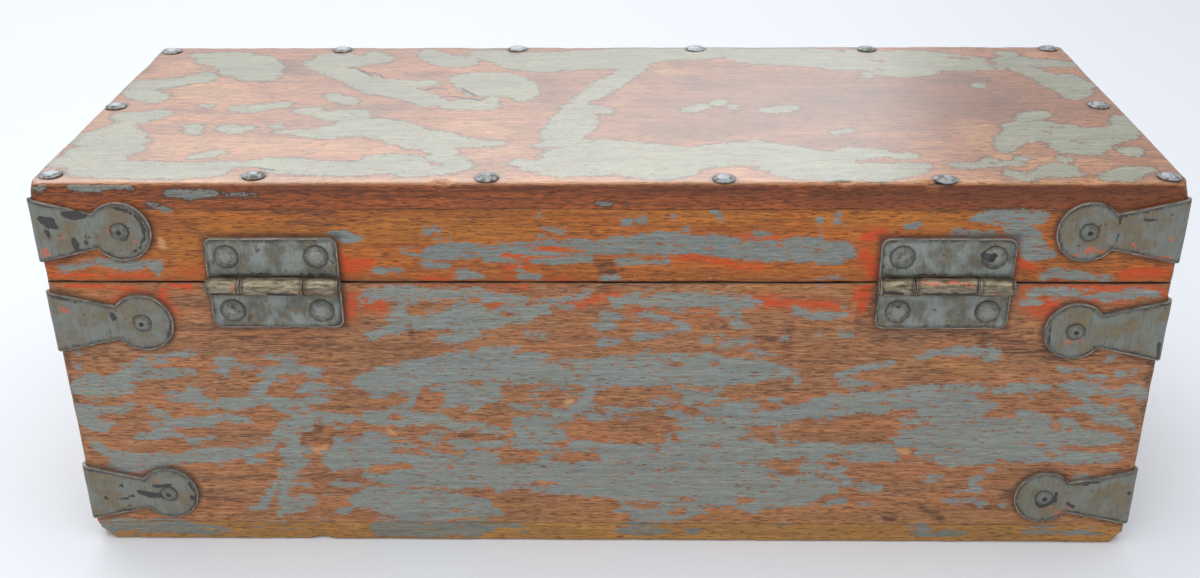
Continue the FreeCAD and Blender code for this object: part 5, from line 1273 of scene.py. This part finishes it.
# %% Chips and red spots on the hinge side's iron
IRON_CHIPS = in_threes(
    (-212,148.6,1.6, -209.4,147.2,2.6, -207.4,145.4,1.4), (-211,143.4,1.1, -210.4,141,0.8),
    (-203.4,150.6,1.1, -199,150.2,2.1, -195,150.4,0.9), (-201.4,140.6,1.1, -200.8,137.8,1.5), (-196.8,139,1),
    (-201,135,0.9, -196,136,0.6), (-187,153,0.4, -183,153.2,0.7, -178.4,151.8,0.8, -175.2,149,0.9,
    -174,145,0.9, -174.3,140.8,0.7, -176.6,136.8,0.6, -180.4,134.4,0.4), (-191.4,106.6,1.4, -192.4,109,0.7),
    (-172,98,0.6, -169.8,103,0.7), (-214,116,0.8, -205,113.6,0.5), (-201.4,28,1.2), (-196.8,24.8,0.9),
    (-194.4,25,1.2, -190,23.4,1.5, -185.6,23.2,1.3), (-209,21.8,1.1), (-204.4,20.6,0.8, -200.6,21.4,0.8,
    -197.4,22.6,0.7), (-199,15.4,1, -205,14,0.6), (-172.4,22,1.4), (-188,27.6,0.9, -181,28.4,0.8),
    (-173,29.4,0.7, -171.4,25,0.6), (200,148.6,0.4, 205,148.7,0.5), (191.4,150,0.6, 190.8,145,0.4,
    191.6,139,0.5), (186,154,0.8, 190,152,0.9), (214.6,96,0.9, 215.4,89,1), (170.8,106,0.8, 172,96,0.6),
    (208,113.4,0.8, 214,114,1), (189,31.4,1.2, 187,33,0.7), (192.6,19.4,1, 190,21,0.6), (184.6,26,0.9,
    184.4,22.4,1.1, 179.4,19.6,1.1, 176.4,21,0.7), (214.6,26,1), (195,30.4,0.8, 204,32.4,0.6),
    (142.4,134.4,1.3, 144.6,133.6,2.1, 146,134.6,1.2), (-108,130,0.6), (-152.6,138,0.6, -152.8,126,0.5),
    (-144,112.6,0.8), (104,108,0.6, 103.6,117,0.5), (150.6,136,0.5), (112,112.6,0.8), (106,121.2,0.9,
    112,120.8,0.8), (120,120.4,0.7, 139,120.2,0.8), (-150,119.6,0.8, -142,120,0.6), (-128,119.8,0.9,
    -118,119.7,0.7))
IRON_RED = in_threes(
    (-213,134.6,2.2), (-206,141.4,1.2), (-178,139,1.2), (-211,110.6,1.4, -208,108.6,0.8), (-187,143.6,1,
    -184,146.6,0.7), (176,134.4,1.2, 183,136.4,1.6, 188,135,1.2), (187,141,0.9), (195,134.4,1, 206,132.8,1.2,
    213,133,0.9), (211.4,140.6,1.2), (199,137,0.7, 196,141,0.6), (185,98,0.9, 178.6,97,0.8), (183,20,0.8,
    186,15,1, 192,20,0.8), (-141.2,123.4,1.1, -141,120.8,0.9), (118.6,124.6,0.4, 126,124.4,0.7,
    134,124.8,0.5, 139,123.4,0.4), (147.6,120.8,1.1), (107.4,120.2,0.8), (-119,121,0.6, -112,121.4,0.6),
    (-104.6,121.4,0.9), (150,119,0.6), (-186,30.6,0.9), (-184,97,0.8))
print("iron:", len(IRON_CHIPS), "chips,", len(IRON_RED), "red spots")


# %% Copy a shape from the frame and file its edges
THIN = 4.0  # iron no thicker than this is not cut into cells through its thickness


def cut_edge_points(mesh):
    """Points every half millimetre along the selected edges."""
    points = []
    for edge in mesh.edges:
        if edge.select and edge.calc_length() > 0:
            steps = max(1, int(edge.calc_length() / (0.5 * MM)))
            for i in range(steps + 1):
                points.append(edge.verts[0].co.lerp(edge.verts[1].co, i / steps) / MM)
    return np.array([tuple(p) for p in points])


NOTCH_EDGE, NOTCH_FILL = 3.9, 0.9  # how far a notch's edge is from the seam, and how far it comes down
KNUCKLES = 88.4  # where they begin, measured from the middle of the box


def close_notch(piece):
    """Paint has filled the notches of the hinge leaves: their edges come down almost to the knuckles."""
    mesh = bmesh.from_edit_mesh(piece.data)
    for corner in mesh.verts:
        above = corner.co.z / MM - SEAM_HEIGHT
        if is_at(abs(above), NOTCH_EDGE) and corner.co.y / MM < KNUCKLES:
            corner.co.z -= math.copysign(NOTCH_FILL * MM, above)
    bmesh.update_edit_mesh(piece.data)


def forged(name, node, filed, cell):
    """A clean copy of a node's shape with filed edges and small cells, and points along its cut edges."""
    deselect()
    piece = bpy.data.objects.new(name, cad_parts[node].data.copy())
    bpy.context.scene.collection.objects.link(piece)
    piece.select_set(True)
    bpy.context.view_layer.objects.active = piece
    piece.data.materials.clear()
    bpy.ops.mesh.customdata_custom_splitnormals_clear()
    bpy.ops.object.mode_set(mode="EDIT")
    bpy.ops.mesh.select_mode(type="EDGE")
    bpy.ops.mesh.select_all(action="SELECT")
    bpy.ops.mesh.remove_doubles(threshold=0.01 * MM)
    bpy.ops.mesh.dissolve_limited(angle_limit=math.radians(1.5))
    pick_edges(piece, sharper_than(50))
    if node in LEAVES:
        close_notch(piece)
    cut_edges = cut_edge_points(bmesh.from_edit_mesh(piece.data))
    bpy.ops.mesh.bevel(offset=filed * MM, segments=2, affect="EDGES", clamp_overlap=True)
    low, high = (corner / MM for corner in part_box(node))
    for axis in range(3):
        if high[axis] - low[axis] < THIN:
            continue
        direction = Vector((0, 0, 0))
        direction[axis] = 1.0
        for i in range(1, int((high[axis] - low[axis]) / cell)):
            bpy.ops.mesh.select_all(action="SELECT")
            bpy.ops.mesh.bisect(plane_co=(low + direction * cell * i) * MM, plane_no=direction)
    bpy.ops.object.mode_set(mode="OBJECT")
    bpy.ops.object.shade_smooth_by_angle(angle=math.radians(35))
    return piece, cut_edges


# %% Store the wear of a piece of iron
HINGE_SIDE, NOWHERE = 84.0, -999.0
HINGE_AXIS, BARREL_RADIUS = (90.3, SEAM_HEIGHT), 4.4
DENT_WAVE = 11  # the length of the waves in which iron is dented
AT_ONCE = 1500  # corners measured together, to save memory


def iron_places(points):
    """Across and up on the hinge side; anything that is not on that side is far from every stroke."""
    on_side = points[:, 1] > HINGE_SIDE
    return np.where(on_side[:, None], np.column_stack([-points[:, 0], points[:, 2]]), NOWHERE)


def wear_iron(piece, cut_edges):
    """Stores how near each corner is to a cut edge and a nail, and how deep in chips and red spots."""
    mesh = piece.data
    points = corner_array(mesh, "co") / MM
    nearest = np.empty(len(points))
    for part in np.array_split(np.arange(len(points)), max(1, len(points) // AT_ONCE)):
        gaps = np.linalg.norm(points[part][:, None, :] - cut_edges[None, :, :], axis=2)
        nearest[part] = gaps.min(axis=1)
    places = iron_places(points)
    store(mesh, "rim", np.minimum(nearest, 9.0))
    store(mesh, "seat", seat_distance(points))
    store(mesh, "chip", stroke_depth(places, IRON_CHIPS))
    store(mesh, "red", stroke_depth(places, IRON_RED))
    axis_gap = np.hypot(points[:, 1] - HINGE_AXIS[0], points[:, 2] - HINGE_AXIS[1])
    store(mesh, "barrel", np.clip((BARREL_RADIUS - axis_gap) * 2, 0, 1))
    return len(points)


def dent(piece, amount, seed):
    """Moves corners a little, in slow waves, so that no outline stays as true as the drawing."""
    mesh = piece.data
    points = corner_array(mesh, "co")
    for point in points:
        wave = noise.noise_vector(Vector(point) / (DENT_WAVE * MM) + Vector((seed, 0, 0)))
        point += np.array(wave) * amount * MM
    mesh.vertices.foreach_set("co", points.astype(np.float32).ravel())
    mesh.update()


noise.seed_set(5)  # without a seed, noise_vector would follow the clock and differ from run to run
IRON_PIECES = {}
STRAPS = [f"{row}_strap_{face}_{side}" for row in ("lid", "upper", "lower")
          for face in ("back", "front") for side in ("right", "left")]
PINS = ["right_hinge_pin", "left_hinge_pin", "hasp_pin"]
HASP_IRON = ["hasp_plate", "hasp_strap", "staple"]
for seed, node in enumerate(STRAPS + LEAVES + PINS + HASP_IRON):
    filed, dented = (0.15, 0.0) if "pin" in node else (0.3, 0.16)
    piece, cut_edges = forged("worn_" + node, node, filed, 1.3 if "strap" in node else 1.2)
    corners = wear_iron(piece, cut_edges)
    dent(piece, dented, seed * 1.7)
    IRON_PIECES[node] = piece
    print(piece.name, "corners:", corners)

# %% Where each piece of iron rides
for node, piece in IRON_PIECES.items():
    on_lid = node.startswith("lid") or "lid_leaf" in node or node == "staple"
    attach(piece, "hasp" if node == "hasp_strap" else "lid" if on_lid else "case")
    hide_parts(node)
    kind = ("pin_steel" if "pin" in node else "strap_iron" if node in STRAPS
            else "hinge_iron" if node in LEAVES else "hasp_iron")
print("iron pieces:", len(IRON_PIECES))

# %% [markdown]
# ## Nails
# The straps, leaves and top are held by hand-made nails with low domed heads. One head of each size is
# modelled: a ring drawn up and in, step by step, to a dome with a thin lip, and a square shank below. The
# frame says where each nail is and which way it faces. Each copy is turned and leans a little. The joint
# nails have no heads, only a square end sunk flush with the wood.


# %% One domed nail and one headless nail
HEAD_SIDES, HEAD_FOOT = 18, 0.97  # corners round a head, and how wide its underside is, as a share
DOME = [(1.0, 0.10), (1.0, 0.12), (0.93, 0.10), (0.87, 0.05), (0.74, 0.21), (0.55, 0.20), (0.34, 0.14),
        (0.14, 0.08)]  # each ring of the head: its radius and the step up to it, as shares


def draw_out(height, share):
    """Extrudes the selected face by a height in millimetres and then scales it across."""
    bpy.ops.mesh.extrude_region_move(TRANSFORM_OT_translate={"value": (0, 0, height * MM)})
    bpy.ops.transform.resize(value=(share, share, 1))


def domed_nail(radius, rise, shank, length):
    """A nail at the origin that points up, with the underside of its head at height 0."""
    deselect()
    bpy.ops.mesh.primitive_circle_add(vertices=HEAD_SIDES, radius=radius * HEAD_FOOT * MM, fill_type="NGON")
    nail = active()
    bpy.ops.object.mode_set(mode="EDIT")
    bpy.ops.mesh.select_mode(type="FACE")
    bpy.ops.mesh.select_all(action="SELECT")
    width = HEAD_FOOT
    for grown, up in DOME:
        draw_out(up * rise, grown / width)
        width = grown
    bpy.ops.mesh.select_mode(type="EDGE")
    pick_edges(nail, lambda edge: edge.is_boundary)
    bpy.ops.mesh.edge_face_add()
    bpy.ops.mesh.select_mode(type="FACE")
    bpy.ops.mesh.inset(thickness=(radius * HEAD_FOOT - shank * 0.55) * MM)
    draw_out(-length * 0.75, 0.9)
    draw_out(-length * 0.25, 0.25)
    bpy.ops.mesh.select_all(action="SELECT")
    bpy.ops.mesh.normals_make_consistent(inside=False)
    bpy.ops.object.mode_set(mode="OBJECT")
    bpy.ops.object.shade_smooth_by_angle(angle=math.radians(50))
    return nail


def headless_nail(width, length):
    """A square nail at the origin that points up, its end at height 0."""
    deselect()
    bpy.ops.mesh.primitive_cube_add(size=1, location=(0, 0, -length / 2 * MM))
    nail = active()
    nail.scale = (width * MM, width * MM, length * MM)
    bpy.ops.object.transform_apply(location=True, rotation=True, scale=True)
    bpy.ops.object.mode_set(mode="EDIT")
    bpy.ops.mesh.select_mode(type="EDGE")
    bpy.ops.mesh.select_all(action="SELECT")
    bpy.ops.mesh.bevel(offset=0.3 * MM, segments=2, affect="EDGES")
    bpy.ops.mesh.select_mode(type="VERT")
    mesh = bmesh.from_edit_mesh(nail.data)
    for corner in mesh.verts:
        corner.select = corner.co.z < -length * 0.9 * MM
    mesh.select_flush_mode()
    bmesh.update_edit_mesh(nail.data)
    bpy.ops.transform.resize(value=(0.4, 0.4, 1))
    bpy.ops.object.mode_set(mode="OBJECT")
    bpy.ops.object.shade_smooth_by_angle(angle=math.radians(50))
    return nail


# %% Drive a group of nails
SMALLEST = 0.95  # the smallest head of a group, as a share of the model


def drive_nails(name, node, model, rise, lean, seed):
    """Copies the model to every nail of the group and joins the copies into one piece."""
    hand = random.Random(seed)
    copies = []
    for end, facing in nail_places(node):
        copy = bpy.data.objects.new(name, model.data.copy())
        bpy.context.scene.collection.objects.link(copy)
        sideways = Matrix.Rotation(math.radians(hand.uniform(-lean, lean)), 4, "X")
        forwards = Matrix.Rotation(math.radians(hand.uniform(-lean, lean)), 4, "Y")
        spin = Matrix.Rotation(hand.uniform(0, math.tau), 4, "Z") if rise > 0 else Matrix.Identity(4)
        grow = hand.uniform(SMALLEST, 1.0)
        turn = facing.to_track_quat("Z", "Y").to_matrix().to_4x4()
        centre = (end - facing * rise) * MM
        copy.data.transform(Matrix.Translation(centre) @ turn @ (sideways @ forwards) @ spin
                            @ Matrix.Diagonal((grow, grow, 1, 1)))
        offset = corner_array(copy.data, "co") - np.array(centre)
        axial = offset @ np.array(facing)
        radial = np.linalg.norm(offset - axial[:, None] * np.array(facing), axis=1) / MM
        store(copy.data, "crown", radial)
        store(copy.data, "tone", np.full(len(offset), hand.random()))
        copies.append(copy)
    deselect()
    for copy in copies:
        copy.select_set(True)
    bpy.context.view_layer.objects.active = copies[0]
    bpy.ops.object.join()
    nails = active()
    nails.name = name
    points = corner_array(nails.data, "co") / MM
    store(nails.data, "chip", stroke_depth(iron_places(points), IRON_CHIPS))
    print(name, "nails:", len(copies))
    return nails


# %% Drive all the nails
HIGH, LOW, FLUSH = 1.5, 1.3, 0.0  # how far a head stands out
SHANK, BRAD = 2.3, 2.1
stud = domed_nail(TOP_STUD, HIGH, SHANK, 24)
hinge_stud = domed_nail(HINGE_STUD, HIGH, SHANK, 9)
strap_stud = domed_nail(SMALL_STUD, LOW, SHANK, 8.5)
plate_stud = domed_nail(SMALL_STUD, LOW, SHANK, 8.3)
brad = headless_nail(BRAD, 27)
short_brad = headless_nail(BRAD, 25.5)
NAIL_GROUPS = {  # node: name, model, head, and how many degrees a nail may lean
    "lid_top_nails": ("top_studs", stud, HIGH, 2.0),
    "lid_hinge_nails": ("lid_hinge_studs", hinge_stud, HIGH, 1.0),
    "case_hinge_nails": ("case_hinge_studs", hinge_stud, HIGH, 1.0),
    "lid_strap_nails": ("lid_strap_studs", strap_stud, LOW, 3.0),
    "case_strap_nails": ("case_strap_studs", strap_stud, LOW, 3.0),
    "hasp_plate_nails": ("hasp_plate_studs", plate_stud, LOW, 1.0),
    "lid_corner_nails": ("lid_corner_brads", brad, FLUSH, 0.5),
    "case_corner_nails": ("case_corner_brads", brad, FLUSH, 0.5),
    "base_nails": ("base_brads", short_brad, FLUSH, 0.5),
}
NAILS = {}
for seed, (node, (name, model, rise, lean)) in enumerate(NAIL_GROUPS.items(), start=1):
    NAILS[node] = drive_nails(name, node, model, rise, lean, seed)
for model in (stud, hinge_stud, strap_stud, plate_stud, brad, short_brad):
    bpy.data.objects.remove(model)
for node, nails in NAILS.items():
    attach(nails, "lid" if node.startswith("lid") else "case")
    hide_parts(node)
print("nail groups:", len(NAILS))

# %% [markdown]
# ## Painted iron
# The iron got the same paint as the box, but it has yellowed and gathered rust and oil in blotches. Where
# the coat is chipped, near-black iron shows. Along every cut edge the paint is rubbed to a thin pale line,
# made lighter as a painted highlight, with a dark line of dirt and painted shade just inside it. A ring of
# dirt and painted shade also darkens the iron round each nail head.

# %% Group: iron wear, with a painted highlight and painted shade at the cut edges
iron_wear_highlight_shade, w, iron_in, iron_out = new_group(
    "iron_wear_highlight_shade", {"Place": VECTOR, "Rim": NUMBER, "Chip": NUMBER},
    ["Bare", "PaleAndHighlight", "DirtAndShade", "Blotch", "Yellow", "Height"])
cloud = w.noise(iron_in["Place"], (7, 7, 7), 3, 0.6)
patch = w.noise(iron_in["Place"], (3.1, 3.1, 3.1), 3, 0.62, (3, 3, 3))
grit = w.noise(iron_in["Place"], (0.8, 0.8, 0.8), 2, 0.6, (9, 1, 2))
wobble = w.less(w.plus(w.times(patch, 0.65), w.times(grit, 0.35)), 0.5)
chip = w.between(w.plus(iron_in["Chip"], w.times(wobble, 2.6)), -0.15, 0.2)
loose = w.between(patch, 0.67, 0.7)
near_rim = w.rest(w.between(w.plus(iron_in["Rim"], w.times(wobble, 5.5)), 0.9, 1.5))
bare = w.most(chip, w.times(w.times(near_rim, w.between(cloud, 0.42, 0.56)), 0.85))
w.feed(iron_out["Bare"], w.most(bare, w.times(loose, 0.7)))
# A thin pale line along each cut edge: worn paint, and a painted highlight where the filed edge would catch
# the light
pale_and_highlit = w.rest(w.between(w.plus(iron_in["Rim"], w.times(wobble, 1.2)), 0.3, 0.62))
w.feed(iron_out["PaleAndHighlight"], w.times(pale_and_highlit, w.between(cloud, 0.3, 0.62)))
# A dark line just inside each cut edge: dirt and painted shade
w.feed(iron_out["DirtAndShade"], w.rest(w.between(w.plus(iron_in["Rim"], w.times(wobble, 3.0)), 0.5, 2.4)))
w.feed(iron_out["Blotch"], w.between(cloud, 0.36, 0.66))
w.feed(iron_out["Yellow"], w.between(w.plus(w.times(cloud, 0.4), w.times(patch, 0.6)), 0.52, 0.66))
w.feed(iron_out["Height"], w.less(w.plus(w.times(grit, 0.3), w.times(cloud, 0.6)),
                                  w.times(w.most(bare, loose), 0.5)))
print("group", iron_wear_highlight_shade.name)


# %% The finish of the straps, leaves and hasp
IRON_DARK, IRON_YELLOW, IRON_RED_PAINT, IRON_DIRT_AND_SHADE = "#4F514C", "#86704E", "#D25A38", "#3E362E"
IRON_BARE, IRON_PALE_HIGHLIGHT = "#403C3A", "#A39A8C"
BARREL_BRIGHT, BARREL_DIRT = "#A89B80", "#4A3D2E"


def painted_iron(name, paint, oil, bright_barrel=False):
    """Paint over iron, with oil in blotches; bright_barrel rubs the knuckles of a hinge to bare metal."""
    material, w, shader = new_finish(name)
    place = w.millimetres()
    wear = place_group(w, iron_wear_highlight_shade, Place=place, Rim=w.kept("rim"), Chip=w.kept("chip"))
    brushed = w.noise(place, (0.7, 0.7, 7), 2, 0.6, (2, 2, 2))
    colour = w.mix(wear["Blotch"], paint, oil)
    colour = w.mix(w.times(w.between(brushed, 0.5, 0.72), 0.5), colour, IRON_DARK)
    colour = w.mix(w.times(wear["Yellow"], 0.6), colour, IRON_YELLOW)
    spots = w.plus(w.kept("red"), w.swing(w.noise(place, (1.3, 1.3, 1.0), 3, 0.65), 6.5))
    red = w.times(w.between(spots, 0.1, 0.9), 0.62)
    if bright_barrel:
        smears = w.between(w.noise(place, (6, 1.8, 1.3), 4, 0.7, (1, 7, 3)), 0.3, 0.7)
        barrel = w.mix(smears, BARREL_BRIGHT, BARREL_DIRT)
        colour = w.mix(w.times(w.kept("barrel"), 0.9), colour, barrel)
    colour = w.mix(red, colour, IRON_RED_PAINT)
    # A dark ring round each nail head, and the dark line inside the cut edges: dirt and painted shade
    seat = w.plus(w.kept("seat"), w.swing(w.noise(place, (1.4, 1.4, 1.4), 2, 0.6, (6, 6, 6)), 1.6))
    ring = w.rest(w.between(seat, 0.1, 0.9))
    colour = w.mix(w.times(w.most(w.times(wear["DirtAndShade"], 0.8), ring), 0.8), colour, IRON_DIRT_AND_SHADE)
    colour = w.mix(wear["Bare"], colour, IRON_BARE)
    # The pale edge line: worn paint and a painted highlight
    colour = w.mix(w.times(wear["PaleAndHighlight"], 0.85), colour, IRON_PALE_HIGHLIGHT)
    w.feed(shader.inputs["Base Color"], colour)
    bright = w.times(wear["PaleAndHighlight"], 0.5)
    if bright_barrel:
        bright = w.most(bright, w.times(w.kept("barrel"), 0.6))
    w.feed(shader.inputs["Metallic"], w.most(bright, w.times(wear["Bare"], 0.35)))
    w.feed(shader.inputs["Roughness"], w.less(0.58, w.times(w.most(bright, wear["Bare"]), 0.3)))
    add_relief(w, shader, wear["Height"], 0.0003, 0.8)
    return material


strap_finish = painted_iron("painted_strap_iron", "#777A72", "#706650")
leaf_finish = painted_iron("painted_hinge_iron", "#868C85", "#5F5E51", bright_barrel=True)
hasp_finish = painted_iron("painted_hasp_iron", "#6C736C", "#5E5A49")
pin_finish = painted_iron("worn_pin_steel", "#7C7A73", "#5A554D")
for node, piece in IRON_PIECES.items():
    kind = (pin_finish if "pin" in node else strap_finish if node in STRAPS
            else leaf_finish if node in LEAVES else hasp_finish)
    piece.data.materials.append(kind)
print("finished iron:", len(IRON_PIECES))


# %% The finish of the nails
NAIL_BROWN = "#5F584B"


def nail_iron(name, paint, bare, crown_share, lip_radius, dark_heart=0.0):
    """Painted round the lip, where dirt and painted shade darken it; worn to iron on the crown as far as
    crown_share says, and lighter there as a painted highlight; dark in a dimple.
    """
    material, w, shader = new_finish(name)
    place = w.millimetres()
    wobble = w.less(w.noise(place, (1.5, 1.5, 1.5), 3, 0.6), 0.5)
    crown = w.less(w.plus(w.kept("crown"), w.times(wobble, 3.4)), w.times(w.kept("tone"), crown_share))
    # Worn to bare iron on the crown and lighter there: wear, and a painted highlight
    worn_and_highlit = w.rest(w.between(crown, 0.2, 1.1))
    chip = w.between(w.plus(w.kept("chip"), w.times(wobble, 1.6)), -0.1, 0.2)
    brown = w.between(w.noise(place, (2.2, 2.2, 2.2), 3, 0.6, (4, 4, 4)), 0.4, 0.62)
    colour = w.mix(brown, paint, NAIL_BROWN)
    colour = w.mix(worn_and_highlit, colour, bare)
    # Dirt and painted shade round the edge of the head
    lip = w.between(w.plus(w.kept("crown"), w.times(wobble, 1.4)), lip_radius - 1.3, lip_radius - 0.3)
    colour = w.mix(w.times(lip, 0.4), colour, IRON_DIRT_AND_SHADE)
    colour = w.mix(chip, colour, IRON_BARE)
    heart = w.between(w.plus(w.kept("crown"), wobble), dark_heart + 0.35, dark_heart - 0.35)
    colour = w.mix(heart, colour, IRON_BARE)
    w.feed(shader.inputs["Base Color"], colour)
    w.feed(shader.inputs["Metallic"], w.times(worn_and_highlit, 0.75))
    w.feed(shader.inputs["Roughness"], w.less(0.5, w.times(worn_and_highlit, 0.18)))
    add_relief(w, shader, w.noise(place, (1.3, 1.3, 1.3), 3, 0.6, (7, 2, 2)), 0.0007, 0.8)
    return material


head_finish = nail_iron("worn_nail_heads", "#787E78", "#8C8C84", 2.4, 4.5)
top_finish = nail_iron("worn_top_studs", "#9DA2A4", "#B2B8BE", 4.4, 5.0)
strap_nail_finish = nail_iron("strap_nail_heads", "#6C726C", "#85857E", 1.8, 3.5, 1.1)
brad_finish = nail_iron("rusty_brads", "#4A3A30", "#3A302B", 0.5, 3.0)
for node, nails in NAILS.items():
    nails.data.materials.clear()
    kind = (top_finish if node == "lid_top_nails"
            else strap_nail_finish if "strap_nails" in node else head_finish)
    nails.data.materials.append(brad_finish if "brads" in nails.name else kind)
print("finished nails:", len(NAILS))

# %% [markdown]
# ## Sizes before and after
# The boxes before and after are printed, to set the dressed model's size beside the frame's.

# %% Print the sizes
visual_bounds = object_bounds()
sizes = {"cad": [list(corner) for corner in cad_bounds], "visual": [list(corner) for corner in visual_bounds]}
for label, (low, high) in sizes.items():
    print(label, [round(v * 1000, 1) for v in low], [round(v * 1000, 1) for v in high])
